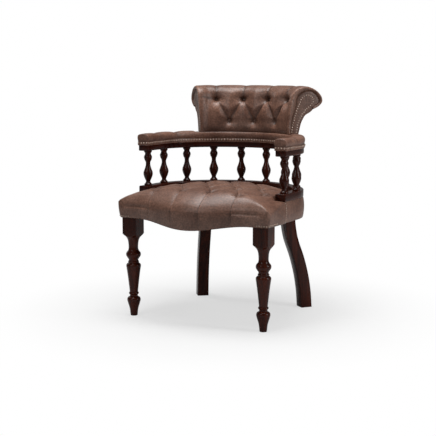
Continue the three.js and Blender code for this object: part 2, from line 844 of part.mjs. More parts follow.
// Bent plywood panel from the foot rail to the top rail, under the front's padding
function backPanel() {
  const line = liningKnots.slice(0, 5).map(([r, up]) => [r, Math.max(up, footRailTop + 0.01)]);
  return sweptBack(() => [
    ...backLine(line, 0.6 + 1.5), ...backLine([...line].reverse(), 0.6 + 1.5 + backPanelThickness),
  ], railDepth);
}

// Leather behind the back, from the scroll's under side to the foot
function backOutside() {
  return sweptBack(() => [...backLine(rearKnots), ...rearLine(-leather)], 0);
}

// Covered button of the back, domed towards the sitter, or its pocket with play
function backButton([angle, up, out], play = 0) {
  const dome = domedButton(play);
  const lean = Math.atan2(outAt(middleKnots, up + 0.04) - outAt(middleKnots, up - 0.04), 0.08 * backHeight);
  const at = backPoint(angle, backFoot + out, backFootZ + up * backHeight);
  const turn = new THREE.Matrix4().makeTranslation(at.x, at.y, at.z)
    .multiply(new THREE.Matrix4().makeRotationZ(-angle))
    .multiply(new THREE.Matrix4().makeRotationX(Math.PI / 2 - lean));
  return solid(dome.applyMatrix4(turn));
}

// Seat upholstery

const seatCentre = [0, seatMiddleY];

// Places across the seat's front edge, closer together at its pleats
function noseStations(flat) {
  const pleats = [tuftPitchX / 2, 1.5 * tuftPitchX];
  const half = pleats.flatMap((x) => [x - seatPleatSpread, x, x + seatPleatSpread, x + tuftPitchX / 2]);
  half[half.length - 1] = flat;
  half.splice(half.length - 1, 0, (flat + half[half.length - 2]) / 2);
  return [...[...half].reverse().map((x) => -x), 0, ...half];
}

// 1 on the line of a pleat over the front edge, 0 beside it
function onFrontPleat(x, y) {
  if (y > -legBlock / 2) return 0;
  return [tuftPitchX / 2, 1.5 * tuftPitchX].some((pleat) => Math.abs(Math.abs(x) - pleat) < 1) ? 1 : 0;
}

// Plan of the seat's widest line, and of its lower edge when low is 1
function seatPlan(low) {
  const swell = seatBulge * (1 - low) + (leather + fit) * low;
  const nose = noseBulge * (1 - low) + (leather + fit) * low;
  const corner = noseRadius * (1 - low) + hemRadius * low;
  const wide = frameHalf + swell;
  const front = -legBlock / 2 - nose;
  const outline = [];
  const flat = wide - corner;
  for (const x of noseStations(flat)) outline.push([x, front - seatBow * bowShare(x)]);
  for (let i = 1; i < 4; i++) {
    const turn = (i * Math.PI) / 8;
    outline.push([flat + corner * Math.sin(turn), front + corner - corner * Math.cos(turn)]);
  }
  const side = halfWidth + hoopWidth / 2;
  const rimY = armSetback;
  for (let i = 0; i < 5; i++) {
    const share = i / 5;
    const ease = share * share * (3 - 2 * share);
    outline.push([wide + (side - wide) * ease, front + corner + (rimY - front - corner) * share]);
  }
  const rear = [...stations].reverse().filter((_, i) => i % 2 === 0);
  for (const s of rear) {
    const p = hoopPoint(s, hoopWidth / 2, 0);
    outline.push([p.x, p.y]);
  }
  const straight = noseStations(flat).length;
  const left = outline.slice(straight, straight + 8).reverse().map(([x, y]) => [-x, y]);
  return [...outline, ...left];
}

// Seat buttons in a diamond grid inside the hoop
function seatButtonPlaces() {
  const places = [];
  for (let row = 0; row < 5; row++) {
    const y = tuftFrontY + row * tuftPitchY;
    const odd = row % 2;
    for (let k = -2; k <= 2; k++) {
      const x = (k + (odd ? 0 : 0.5)) * tuftPitchX;
      if (insideHoop(x, y, tuftMargin)) places.push([x, y]);
    }
  }
  return places;
}

// Whether a point lies inside the hoop line by more than a margin
function insideHoop(x, y, margin) {
  const inner = hoopWidth / 2 + margin;
  if (Math.abs(x) > halfWidth - inner) return false;
  if (y <= cornerY) return true;
  const far = Math.abs(x) > cornerX
    ? Math.hypot(Math.abs(x) - cornerX, y - cornerY) < cornerRadius - inner
    : true;
  return far && Math.hypot(x, y - centreY) < backRadius - inner;
}

// Height of the seat at a share of the way from its centre to a point of its plan
function crown(share, rim) {
  return rim + (crownHeight - rim) * Math.max(0, 1 - share ** 3) ** crownFall;
}

// Height of the widest line, which climbs to the lower hoop where the arms begin
function rimHeight(y) {
  const share = THREE.MathUtils.smoothstep(y, -legBlock / 2, armSetback);
  return THREE.MathUtils.lerp(seatBulgeHeight, lowerHoopBottom - leather, share);
}

// Share of the way from the seat's centre to the edge of its plan, and where the edge lies that way
function shareOf(plan, x, y) {
  const [cx, cy] = seatCentre;
  const dx = x - cx;
  const dy = y - cy;
  for (let i = 0; i < plan.length; i++) {
    const [ax, ay] = plan[i];
    const [bx, by] = plan[(i + 1) % plan.length];
    const cross = dx * (by - ay) - dy * (bx - ax);
    const reach = ((ax - cx) * (by - ay) - (ay - cy) * (bx - ax)) / cross;
    const along = ((ax - cx) * dy - (ay - cy) * dx) / cross;
    if (reach > 0 && along >= 0 && along <= 1) return { share: 1 / reach, edgeY: ay + along * (by - ay) };
  }
  return { share: 0, edgeY: cy };
}

// Point of the padded top over a place in the plan, before it is buttoned
function seatTop(plan, x, y) {
  const { share, edgeY } = shareOf(plan, x, y);
  return new THREE.Vector3(x, y, crown(Math.min(1, share), rimHeight(edgeY)));
}

// How far the leather is drawn down by its buttons and the pleats between them
function seatPull(x, y) {
  const hollows = seatButtonPlaces().map(([bx, by]) => {
    const reach = Math.hypot(x - bx, y - by) / tuftSpread;
    return seatTuftDepth * Math.exp(-reach * reach);
  });
  const pleats = buttonNeighbours().map(([[ax, ay], [bx, by]]) => {
    const reach = distanceToSegment(x, y, ax, ay, bx, by) / seatPleatSpread;
    return seatPleatDepth * Math.exp(-reach * reach);
  });
  return Math.max(...hollows, ...pleats);
}

// Pairs of buttons joined by a slanting pleat
function buttonNeighbours() {
  const places = seatButtonPlaces();
  const slanting = ([ax, ay], [bx, by]) => Math.abs(by - ay - tuftPitchY) < 1
    && Math.abs(Math.abs(bx - ax) - tuftPitchX / 2) < 1;
  return places.flatMap((a) => places.filter((b) => slanting(a, b)).map((b) => [a, b]));
}

const latticeSteps = 4;     // between two buttons of a row, and between two rows
const latticeLimit = 0.85;  // how far towards the plan's edge the lattice reaches

// Triangular lattice over the seat, with its slanting edges on the pleats
function seatLattice(plan) {
  const stepX = tuftPitchX / latticeSteps;
  const stepY = tuftPitchY / latticeSteps;
  const farthest = Math.ceil((2 * frameHalf) / stepX);
  const places = [];
  const rank = new Map();
  for (let j = -latticeSteps; j <= farthest; j++) {
    for (let i = -farthest; i <= farthest; i++) {
      const x = stepX * (i + j / 2);
      const y = tuftFrontY + stepY * j;
      if (shareOf(plan, x, y).share > latticeLimit) continue;
      rank.set(`${i},${j}`, places.length);
      places.push([x, y]);
    }
  }
  const triangles = [];
  for (const key of rank.keys()) {
    const [i, j] = key.split(',').map(Number);
    const corners = [[i, j], [i + 1, j], [i, j + 1], [i + 1, j + 1]];
    const [a, b, c, d] = corners.map(([p, q]) => rank.get(`${p},${q}`));
    if (b !== undefined && c !== undefined) triangles.push([a, b, c]);
    if (b !== undefined && c !== undefined && d !== undefined) triangles.push([b, d, c]);
  }
  return { places, triangles };
}

// Loop of the edges that only one triangle has
function outlineOf(triangles) {
  const edges = triangles.flatMap(([a, b, c]) => [[a, b], [b, c], [c, a]]);
  const known = new Set(edges.map(([a, b]) => `${a},${b}`));
  const next = new Map(edges.filter(([a, b]) => !known.has(`${b},${a}`)));
  const loop = [next.keys().next().value];
  while (next.get(loop[loop.length - 1]) !== loop[0]) loop.push(next.get(loop[loop.length - 1]));
  return loop;
}

function seatCover() {
  const wide = seatPlan(0);
  const low = seatPlan(1);
  const [cx, cy] = seatCentre;
  const rings = [];
  const bottom = wide.map((_, i) => {
    const [x, y] = low[i];
    const front = y < armSetback ? bowShare(x) : 0;
    return new THREE.Vector3(x, y, frameBottom - leather - apronDrop * front);
  });
  rings.push(bottom);
  for (const [share, height] of [[0.45, 0.22], [0.85, 0.6]]) {
    rings.push(wide.map(([x, y], i) => new THREE.Vector3(
      low[i][0] + (x - low[i][0]) * share,
      low[i][1] + (y - low[i][1]) * share + share * seatPleatDepth * onFrontPleat(x, y),
      bottom[i].z + (rimHeight(y) - bottom[i].z) * height,
    )));
  }
  for (const share of [1, 0.975, 0.93]) {
    rings.push(wide.map(([x, y]) => {
      const pull = seatPleatDepth * onFrontPleat(x, y);
      const px = cx + (x - cx) * share;
      const py = cy + (y - cy) * share + pull;
      return new THREE.Vector3(px, py, crown(share, rimHeight(y)) - (share < 1 ? pull : 0));
    }));
  }
  const outer = seatShell(rings, wide);
  const half = hoopWidth / 2 + boreFit;
  const list = [-hoopHalfLength - boreFit, ...stations.slice(1, -1), hoopHalfLength + boreFit];
  const beyond = half + hoopWidth / 2;
  const above = crownHeight + hoopWidth;
  const below = frameBottom - legBlock;
  const channel = sweptAlongHoop([
    [-half, lowerHoopBottom - boreFit], [beyond, lowerHoopBottom - boreFit],
    [beyond, above], [-half, above],
  ], list);
  const band = sweptAlongHoop([
    [railOuter - fit, below], [beyond, below],
    [beyond, lowerHoopBottom], [railOuter - fit, lowerHoopBottom],
  ], [-hoopHalfLength + bandLap, ...stations.slice(1, -1), hoopHalfLength - bandLap]);
  const frameVoid = frameMould(fit, 2 * fit, below, deckTop + fit);
  return cut(outer, channel, band, frameVoid, seatFoam(boreFit), ...hoopDowels(boreFit));
}

// Skin through the rings, closed below by a fan and above by the buttoned lattice
function seatShell(rings, plan) {
  const count = plan.length;
  const lattice = seatLattice(plan);
  const buttoned = lattice.places.map(([x, y]) => {
    const top = seatTop(plan, x, y);
    return top.setZ(top.z - seatPull(x, y));
  });
  const foot = new THREE.Vector3(...seatCentre, frameBottom - leather);
  const points = [...rings.flat(), ...buttoned, foot];
  const last = (rings.length - 1) * count;
  const index = [];
  for (let start = 0; start < last; start += count) {
    for (let i = 0; i < count; i++) {
      const a = start + i;
      const b = start + ((i + 1) % count);
      index.push(a, b, a + count, b, b + count, a + count);
    }
  }
  for (let i = 0; i < count; i++) index.push((i + 1) % count, i, points.length - 1);
  const first = last + count;
  for (const [a, b, c] of lattice.triangles) index.push(first + a, first + b, first + c);
  const inner = outlineOf(lattice.triangles);
  const rim = [...rings[rings.length - 1].keys()].map((i) => last + i);
  const hole = inner.map((i) => first + i);
  const flat = (list) => list.map((i) => new THREE.Vector2(points[i].x, points[i].y));
  const between = [...rim, ...hole];
  for (const triangle of THREE.ShapeUtils.triangulateShape(flat(rim), [flat(hole)])) {
    const [a, b, c] = triangle.map((i) => points[between[i]]);
    const turn = (b.x - a.x) * (c.y - a.y) - (b.y - a.y) * (c.x - a.x);
    const order = turn > 0 ? triangle : [...triangle].reverse();
    index.push(...order.map((i) => between[i]));
  }
  const geometry = new THREE.BufferGeometry();
  const values = points.flatMap((p) => p.toArray());
  geometry.setAttribute('position', new THREE.Float32BufferAttribute(values, 3));
  geometry.setIndex(index);
  return solid(geometry);
}

// Foam block on the webbing, domed under the padded cover
function seatFoam(play) {
  const plan = seatPlan(0);
  const [cx, cy] = seatCentre;
  const bottom = deckTop + fit;
  const foot = play > 0 ? bottom - 2 : bottom;
  const top = crownHeight - seatPadding + play;
  const grow = play / (2 * (hoopHalfLength / Math.PI));
  const ring = (share, z) => plan.map(([x, y]) => {
    const reach = share + grow;
    return new THREE.Vector3(cx + (x - cx) * reach, cy + (y - cy) * reach, z);
  });
  return loft([ring(foamShare, foot), ring(foamShare, bottom + foamSkirt + play), ring(foamTopShare, top)]);
}

// Canvas deck stretched over the frame under the foam
function seatDeck() {
  return prism(framePlan(-deckMargin, edgeRound - deckMargin + 2), frameTop + fit, deckTop);
}

// Leather band round the frame's sides and back, from one arm's front end to the other
function seatBand() {
  const inner = railOuter + fit;
  const outer = hoopWidth / 2;
  const ends = hoopHalfLength - bandLap - fit;
  const bottom = frameBottom - leather;
  const top = lowerHoopBottom - fit;
  const list = [-ends, ...stations.slice(1, -1), ends];
  const middle = (bottom + top) / 2;
  return sweptAlongHoop([
    [inner, bottom], [outer - 1, bottom], [outer + bandSwell, middle], [outer, top], [inner, top],
  ], list);
}

// Black cloth under the frame, cut round the legs
function dustCover() {
  const top = frameBottom - fit;
  const inset = railOuter - 6;
  const outline = stations.map((s) => {
    const p = hoopPoint(s, inset, 0);
    return [p.x, p.y];
  });
  const front = frontRailThickness - legBlock / 2 + fit;
  outline.push([halfWidth + inset, front], [-halfWidth - inset, front]);
  const sheet = prism(outline, top - dustCoverThickness, top);
  const half = legBlock / 2 + fit;
  const post = box(legX - half, legX + half, -half, half, frameBottom - 40, frameTop);
  const rear = backLeg(fit);
  return cut(sheet, post, mirrored(post), rear, mirrored(rear));
}

// Buttons

// Domed button about the origin, rising along Z, grown on every side by some play
function domedButton(play = 0) {
  const r = buttonRadius + play;
  const base = -buttonSink - play;
  const top = buttonHeight + play;
  const profile = [[0, base], [r, base], [r, 0], [r * 0.75, top * 0.7], [0, top]];
  const points = profile.map(([x, z]) => new THREE.Vector2(x, z));
  return new THREE.LatheGeometry(points, buttonSides).rotateX(Math.PI / 2);
}

function addPair(name, body, look) {
  add(`${name}_right`, geometryOf(body), look);
  add(`${name}_left`, geometryOf(mirrored(body)), look);
}

function addRow(name, bodies, look) {
  bodies.forEach((body, i) => add(`${name}_${String(i + 1).padStart(2, '0')}`, geometryOf(body), look));
}

function buildFrame() {
  addPair('front_leg', frontLeg(), mahogany);
  addPair('back_leg', backLeg(), mahogany);
  add('seat_rail_front', geometryOf(seatRailFront()), beech);
  addPair('seat_rail', cut(seatRailSide(), ...hoopDowels(boreFit)), beech);
  add('seat_rail_back', geometryOf(cut(seatRailBack(), ...hoopDowels(boreFit))), beech);
  addPair('corner_block', cornerBlock(), beech);
  add('dust_cover', geometryOf(dustCover()), cambric);
}

function buildSeat() {
  add('seat_deck', geometryOf(cut(seatDeck(), ...hoopDowels(boreFit))), canvas);
  add('seat_foam', geometryOf(seatFoam(0)), foam);
  add('seat_cover', geometryOf(seatCover()), hide);
  add('seat_band', geometryOf(seatBand()), hide);
}

function buildGallery() {
  addRow('hoop_dowel', hoopDowels(0), beech);
  add('lower_hoop', geometryOf(lowerHoop()), mahogany);
  addRow('spindle', spindlePlaces.map(spindle), mahogany);
  add('upper_hoop', geometryOf(upperHoop()), mahogany);
  add('arm_pad_foam', geometryOf(cut(armPadFoam(), ...backBolts(boreFit))), foam);
  add('arm_pad_cover', geometryOf(armPadCover()), hide);
}

function buildBack() {
  addRow('back_bolt', backBolts(0), steel);
  add('back_rail_foot', geometryOf(backRailFoot()), beech);
  add('back_rail_top', geometryOf(backRailTop()), beech);
  add('back_panel', geometryOf(backPanel()), beech);
  addPair('back_board', backBoard(), beech);
  add('back_cover', geometryOf(backCover()), hide);
  add('back_outside', geometryOf(backOutside()), hide);
  addPair('back_facing', backFacing(), hide);
  addRow('back_button', backButtonPlaces.map((place) => backButton(place)), hide);
}

buildFrame();
buildSeat();
buildGallery();
buildBack();

// Origin on the floor, under the middle of the whole
const extent = new THREE.Box3().setFromObject(group);
const middle = extent.getCenter(new THREE.Vector3());
group.children.forEach((mesh) => mesh.position.set(-middle.x, -middle.y, -extent.min.z));
export default group;
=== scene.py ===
# %% [markdown]
# # A captain's chair in leather and mahogany
# This lesson dresses a finished CAD frame. The frame gives every solid its place, so each
# piece below is modelled straight at its real position, in metres, with Z up and the
# chair's front towards -Y. Right is +X, as seen by someone in front of the chair.

import math

import bmesh
import bpy
import numpy as np
from mathutils import Matrix, Vector


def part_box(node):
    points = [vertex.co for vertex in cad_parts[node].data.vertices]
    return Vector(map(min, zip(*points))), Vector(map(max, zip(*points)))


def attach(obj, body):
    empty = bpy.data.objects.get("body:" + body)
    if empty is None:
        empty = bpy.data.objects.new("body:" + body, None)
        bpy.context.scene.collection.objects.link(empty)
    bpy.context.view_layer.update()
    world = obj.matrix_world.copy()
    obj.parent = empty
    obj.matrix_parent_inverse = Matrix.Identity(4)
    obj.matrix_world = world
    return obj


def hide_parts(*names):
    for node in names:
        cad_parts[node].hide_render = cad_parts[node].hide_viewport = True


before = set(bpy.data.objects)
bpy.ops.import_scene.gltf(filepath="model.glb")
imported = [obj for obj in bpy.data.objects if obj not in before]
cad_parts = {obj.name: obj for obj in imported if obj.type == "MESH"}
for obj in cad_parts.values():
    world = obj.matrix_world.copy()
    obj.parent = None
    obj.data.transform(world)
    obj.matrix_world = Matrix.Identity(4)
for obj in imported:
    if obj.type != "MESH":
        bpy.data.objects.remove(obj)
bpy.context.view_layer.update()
scene = bpy.context.scene

# %% [markdown]
# ## Camera
# The photograph was taken from the chair's front right with a long lens, from just above
# the height of the back. A wider lens nearer by would show the same outline only roughly,
# so the place and the lens were worked out together from the four feet and both hoops.

# %% Camera
LENS, SENSOR = 90.12, 36                                # mm
CAMERA_PLACE = (1.8408, -3.4448, 0.8825)
CAMERA_TILT, CAMERA_TURN = math.radians(82.082), math.radians(28.664)

camera_data = bpy.data.cameras.new("camera")
camera_data.sensor_width = SENSOR
camera_data.lens = LENS
camera = bpy.data.objects.new("camera", camera_data)
camera.location = CAMERA_PLACE
camera.rotation_euler = (CAMERA_TILT, 0, CAMERA_TURN)
scene.collection.objects.link(camera)
scene.camera = camera
scene.view_settings.view_transform = "Standard"
print("camera", tuple(camera.location))

# %% [markdown]
# ## Node helpers
# Every finish is a small tree of nodes. One helper adds a node, sets it and joins it to the
# nodes before it. A socket is given a value, or a pair of a node and the name of its output.
# Words that start with a capital are sockets, and the others are the node's own settings.


# %% Node helpers
def plug(tree, node, socket, value):
    if isinstance(value, tuple) and isinstance(value[0], bpy.types.Node):
        tree.links.new(value[0].outputs[value[1]], node.inputs[socket])
    else:
        node.inputs[socket].default_value = value


def plug_all(tree, node, **sockets):
    for name, value in sockets.items():
        plug(tree, node, name.replace("_", " "), value)


def add_node(tree, kind, *first_sockets, **named):
    node = tree.nodes.new("ShaderNode" + kind)
    for name in [name for name in named if name[0].islower()]:
        setattr(node, name, named.pop(name))
    for number, value in enumerate(first_sockets):
        plug(tree, node, number, value)
    plug_all(tree, node, **named)
    return node


def ramp(tree, fed, stops):
    """Colour ramp through (position, colour) stops, from the lowest to the highest."""
    node = add_node(tree, "ValToRGB", fed)
    elements = node.color_ramp.elements
    for place, colour in stops[1:-1]:
        elements.new(place)
    for element, (place, colour) in zip(elements, stops):
        element.position = place
        element.color = (*colour, 1)
    return node, "Color"


def multiplied(tree, a, b, share=1.0):
    """Colour a darkened or lightened by colour b."""
    colour_a, colour_b, colour_result = 6, 7, 2         # a Mix node has sockets for each type
    mix = add_node(tree, "Mix", share, data_type="RGBA", blend_type="MULTIPLY")
    plug(tree, mix, colour_a, a)
    plug(tree, mix, colour_b, b)
    return mix, colour_result


def new_finish(name):
    """Material with a Principled shader, and the parts needed to build on it."""
    finish = bpy.data.materials.new(name)
    finish.use_nodes = True
    tree = finish.node_tree
    return finish, tree, tree.nodes["Principled BSDF"]


print("node helpers ready")

# %% [markdown]
# ## Floor and room
# The photograph's background is pure white, and the floor shows only a soft shadow. More
# light would bleach the chair too, so the white comes from the floor's and the room's own
# colour, for what the camera sees. Reflections see a small share of it, which keeps the
# polish dark. The floor turns white away from the chair, and so its far edge never shows.

# %% Floor and room
WHITE = (1, 1, 1, 1)
FLOOR_GREY = (0.62, 0.62, 0.62, 1)
FLOOR_HALF = 12
FADE_FROM, FADE_TO = 0.25, 0.9                          # metres from the chair's middle
LEAST_WHITE = 0.6
GLOSS_SHARE = 0.12
ROOM_LIGHT = 0.1


def background_seen(tree):
    """1 for rays of the camera and rays through glass, and a lower share for reflections."""
    path = add_node(tree, "LightPath")
    gloss = add_node(tree, "Math", (path, "Is Glossy Ray"), GLOSS_SHARE, operation="MULTIPLY")
    through = add_node(tree, "Math", (path, "Is Camera Ray"), (path, "Is Transmission Ray"),
                       operation="MAXIMUM")
    return add_node(tree, "Math", (gloss, "Value"), (through, "Value"), operation="MAXIMUM")


def floor_finish():
    finish, tree, shader = new_finish("floor_white")
    plug_all(tree, shader, Base_Color=FLOOR_GREY, Roughness=0.9, Specular_IOR_Level=0.1)
    place = add_node(tree, "TexCoord")
    reach = add_node(tree, "VectorMath", (place, "Object"), operation="LENGTH")
    fade = add_node(tree, "MapRange", Value=(reach, "Value"), From_Min=FADE_FROM, From_Max=FADE_TO,
                    To_Min=LEAST_WHITE, interpolation_type="SMOOTHSTEP")
    share = add_node(tree, "Math", (fade, "Result"), (background_seen(tree), "Value"),
                     operation="MULTIPLY")
    white = add_node(tree, "Emission", Color=WHITE, Strength=1.0)
    mix = add_node(tree, "MixShader", (share, "Value"), (shader, "BSDF"), (white, "Emission"))
    plug(tree, tree.nodes["Material Output"], "Surface", (mix, "Shader"))
    return finish


floor_mesh = bpy.data.meshes.new("floor")
bm = bmesh.new()
bmesh.ops.create_grid(bm, x_segments=1, y_segments=1, size=FLOOR_HALF)
bm.to_mesh(floor_mesh)
bm.free()
floor_mesh.materials.append(floor_finish())
floor = bpy.data.objects.new("floor", floor_mesh)
scene.collection.objects.link(floor)

world = bpy.data.worlds.new("room")
scene.world = world
world.use_nodes = True
room = world.node_tree
room_light = room.nodes["Background"]
plug_all(room, room_light, Color=WHITE, Strength=ROOM_LIGHT)
room_white = add_node(room, "Background", Color=WHITE)
room_mix = add_node(room, "MixShader", (background_seen(room), "Value"),
                    (room_light, "Background"), (room_white, "Background"))
plug(room, room.nodes["World Output"], "Surface", (room_mix, "Shader"))
print("floor", 2 * FLOOR_HALF, "m wide, room light", ROOM_LIGHT)

# %% [markdown]
# ## Lights
# The highlights on the leather are broad and soft, and the polish on the spindles shows
# narrow bright lines on both sides. A large lamp overhead gives the first and the soft
# shadow, and tall ones at each side give the second. A small lamp at the front left lifts
# the faces towards the camera.

# %% Lights
lamps = {                                               # place, aim, size in metres, watts
    "lamp_overhead": ((-0.15, -0.1, 3.2), (0, 0, 0.4), (1.9, 1.9), 100),
    "lamp_front": ((-0.5, -2.4, 1.9), (0, -0.1, 0.4), (0.9, 0.9), 12.5),
    "lamp_right": ((2.3, 0.1, 1.3), (0, 0, 0.45), (0.5, 1.7), 27),
    "lamp_left": ((-2.3, 0.5, 1.2), (0, 0, 0.45), (0.5, 1.7), 6),
}
for name, (place, aim, size, power) in lamps.items():
    data = bpy.data.lights.new(name, "AREA")
    data.shape = "RECTANGLE"
    data.size, data.size_y = size
    data.energy = power
    lamp = bpy.data.objects.new(name, data)
    lamp.location = place
    lamp.rotation_mode = "QUATERNION"
    lamp.rotation_quaternion = (Vector(aim) - Vector(place)).to_track_quat("-Z", "Y")
    scene.collection.objects.link(lamp)
print(len(lamps), "lamps")

# %% [markdown]
# ## Mahogany
# The show wood is stained almost black-red and polished. Grain is long and thin, so one
# noise is stretched far along the piece. Turned pieces and legs have it along Z, and the
# bent hoops along their UV map, whose first axis runs with the bend. A finer noise draws the
# pores, and a thin coat over the wood is the polish.


# %% Mahogany
def mahogany(name, stretch, by_uv=False):
    finish, tree, shader = new_finish(name)
    place = add_node(tree, "TexCoord")
    turn = add_node(tree, "Mapping", Vector=(place, "UV" if by_uv else "Object"), Scale=stretch)
    wave = add_node(tree, "TexNoise", Vector=(turn, "Vector"), Scale=6.0, Detail=6.0,
                    Roughness=0.6, Distortion=0.6)
    figure = ramp(tree, (wave, "Fac"), [(0.3, (0.0085, 0.0012, 0.0006)),
                                        (0.78, (0.07, 0.011, 0.003)),
                                        (0.78, (0.036, 0.0056, 0.0018))])
    pores = add_node(tree, "TexNoise", Vector=(turn, "Vector"), Scale=60.0, Detail=3.0,
                     Roughness=0.7)
    dark = ramp(tree, (pores, "Fac"), [(0.36, (0.3, 0.3, 0.3)), (0.5, (1, 1, 1))])
    rub = add_node(tree, "TexNoise", Vector=(place, "Object"), Scale=22.0, Detail=3.0)
    gloss = add_node(tree, "MapRange", Value=(rub, "Fac"), To_Min=0.16, To_Max=0.3)
    bump = add_node(tree, "Bump", Height=(pores, "Fac"), Strength=0.12, Distance=0.0004)
    plug_all(tree, shader, Base_Color=multiplied(tree, figure, dark, 0.75),
             Roughness=(gloss, "Result"), Normal=(bump, "Normal"), Coat_Weight=0.35,
             Coat_IOR=1.4, Coat_Roughness=0.06, Specular_IOR_Level=0.05)
    return finish


turned_wood = mahogany("mahogany_turned", (9, 9, 0.7))
hoop_wood = mahogany("mahogany_hoop", (0.7, 9, 9), by_uv=True)
print("mahogany", turned_wood.name, hoop_wood.name)

# %% [markdown]
# ## Leather
# Antiqued hide is dyed unevenly. A piece stores a value for each point in an attribute, and the
# finish darkens or lightens by it: lighter where the hide is rubbed and where highlights are
# painted on lips and full parts, darker in the creases as wear and painted shade. At a value
# of 1 the colour goes back to the plain dye. The grain is a cell pattern of about two
# millimetres with wrinkles over it, and specks of some six millimetres are painted into the
# colour as the glints of the grain's highlights.

# %% Leather
DYE_DARK, DYE_MID, DYE_LIGHT = (0.118, 0.053, 0.034), (0.176, 0.087, 0.058), (0.240, 0.130, 0.092)
# Tints for the crease end (wear and painted shade), the rubbed and painted-highlight end, and
# plain.
CREASE_SHADE, RUBBED_AND_HIGHLIT, PLAIN = (0.09, 0.07, 0.06), (1.25, 1.22, 1.2), (1, 1, 1)
# Specks painted into the colour, standing for the glints of the grain's highlights.
GLINT_SPECK_DARK, GLINT_SPECK_LIGHT = (0.74, 0.73, 0.72), (1.24, 1.24, 1.24)


def leather_finish(name, shade=1.0):
    finish, tree, shader = new_finish(name)
    spot = (add_node(tree, "TexCoord"), "Object")
    cloud = add_node(tree, "TexNoise", Vector=spot, Scale=11.0, Detail=6.0, Roughness=0.62,
                     Distortion=0.3)
    dye = ramp(tree, (cloud, "Fac"),
               [(place, [c * shade for c in colour])
                for place, colour in ((0.3, DYE_DARK), (0.72, DYE_LIGHT), (0.72, DYE_MID))])
    wear_light_attribute = add_node(tree, "Attribute", attribute_name="proud")
    # Painted shade in the creases and painted highlights on lips and full parts, with rubbed wear,
    # darken or lighten the dye here.
    wear_light = ramp(tree, (wear_light_attribute, "Fac"), [(0.0, CREASE_SHADE), (1.0, RUBBED_AND_HIGHLIT), (1.0, PLAIN)])
    # Painted glints: specks of about six millimetres lighten and darken the colour.
    glint_noise = add_node(tree, "TexNoise", Vector=spot, Scale=165.0, Detail=3.0)
    glint_specks = ramp(tree, (glint_noise, "Fac"), [(0.38, GLINT_SPECK_DARK), (0.62, GLINT_SPECK_LIGHT)])
    colour = multiplied(tree, multiplied(tree, dye, wear_light), glint_specks)
    gloss = add_node(tree, "MapRange", Value=(cloud, "Fac"), To_Min=0.48, To_Max=0.32)
    cells = add_node(tree, "TexVoronoi", Vector=spot, Scale=420.0, feature="F1")
    grain = add_node(tree, "Bump", Height=(cells, "Distance"), Strength=0.35, Distance=0.0005)
    crinkle = add_node(tree, "TexNoise", Vector=spot, Scale=75.0, Detail=4.0, Roughness=0.65,
                       Distortion=0.8)
    wrinkles = add_node(tree, "Bump", Height=(crinkle, "Fac"), Normal=(grain, "Normal"),
                        Strength=0.22, Distance=0.0022)
    plug_all(tree, shader, Base_Color=colour, Roughness=(gloss, "Result"),
             Normal=(wrinkles, "Normal"), Specular_IOR_Level=0.4)
    return finish


hide = leather_finish("leather_antique")
hide_dark = leather_finish("leather_facing", 0.8)
print("leather", hide.name, hide_dark.name)

# %% [markdown]
# ## Nail brass and the hidden stuffs
# The decorative nails are antiqued, so their brass is dull and blotched. The pieces inside
# the upholstery are never seen in the photograph, but each still gets its own stuff. All of
# them are two tones broken up by one noise, stretched for the beech's grain.


# %% Brass, beech, cloth, foam and steel
def plain_finish(name, low, high, scale, rough, metal=0.0, stretch=(1, 1, 1), bump=0.0):
    """Two tones broken up by a noise, with a bump of some metres from the same noise."""
    finish, tree, shader = new_finish(name)
    place = add_node(tree, "TexCoord")
    turn = add_node(tree, "Mapping", Vector=(place, "Object"), Scale=stretch)
    blotch = add_node(tree, "TexNoise", Vector=(turn, "Vector"), Scale=scale, Detail=4.0,
                      Roughness=0.6)
    tint = ramp(tree, (blotch, "Fac"), [(0.35, low), (0.65, high)])
    gloss = add_node(tree, "MapRange", Value=(blotch, "Fac"), To_Min=rough + 0.08,
                     To_Max=rough - 0.08)
    plug_all(tree, shader, Base_Color=tint, Roughness=(gloss, "Result"), Metallic=metal)
    if bump:
        raised = add_node(tree, "Bump", Height=(blotch, "Fac"), Strength=0.5, Distance=bump)
        plug(tree, shader, "Normal", (raised, "Normal"))
    return finish


brass = plain_finish("nail_brass_antique", (0.22, 0.15, 0.118), (0.47, 0.36, 0.30), 160, 0.4,
                     metal=0.65)
beech = plain_finish("beech_plain", (0.5, 0.34, 0.2), (0.66, 0.5, 0.33), 30, 0.66,
                     stretch=(4, 0.4, 4), bump=0.0003)
canvas = plain_finish("canvas_weave", (0.4, 0.33, 0.22), (0.58, 0.5, 0.37), 900, 0.88, bump=0.0004)
foam = plain_finish("foam_block", (0.72, 0.67, 0.5), (0.84, 0.8, 0.66), 600, 0.9, bump=0.0006)
dust_cloth = plain_finish("dust_cloth_black", (0.02, 0.02, 0.022), (0.045, 0.045, 0.05), 1400, 0.9,
                          bump=0.0003)
steel = plain_finish("steel_zinc", (0.42, 0.42, 0.45), (0.6, 0.6, 0.62), 220, 0.34, metal=1.0)

carried_over = {"seat_rail": beech, "corner_block": beech, "hoop_dowel": beech, "back_rail": beech,
                "back_panel": beech, "back_board": beech, "seat_deck": canvas, "seat_foam": foam,
                "arm_pad_foam": foam, "dust_cover": dust_cloth, "back_bolt": steel}
for node_name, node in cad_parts.items():
    for start, finish in carried_over.items():
        if node_name.startswith(start):
            node.data.materials.clear()
            node.data.materials.append(finish)
print("finishes on", sum(len(n.data.materials) > 0 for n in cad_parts.values()), "CAD nodes")

# %% [markdown]
# ## Hidden cloths and foam
# Two cloths are cut to the seat frame and stretched flat over it: canvas under the foam, and
# black cloth below the rails with its corners notched round the legs. The foam blocks fill
# their leather tightly. All four keep the shape that the frame gives them.

# %% Cloths and foam
print("two cloths and two foam blocks keep the frame's shape")

# %% [markdown]
# ## Measures
# The chair is drawn round one line in plan, the hoop line: an arc across the back, a
# tighter arc at each side and a short straight arm. The lower hoop, the arm hoop, the pad,
# the band and the spindles all follow it. A place on it is a distance from the middle of
# the back, and an offset to the outside. Heights come from the boxes of the CAD nodes.

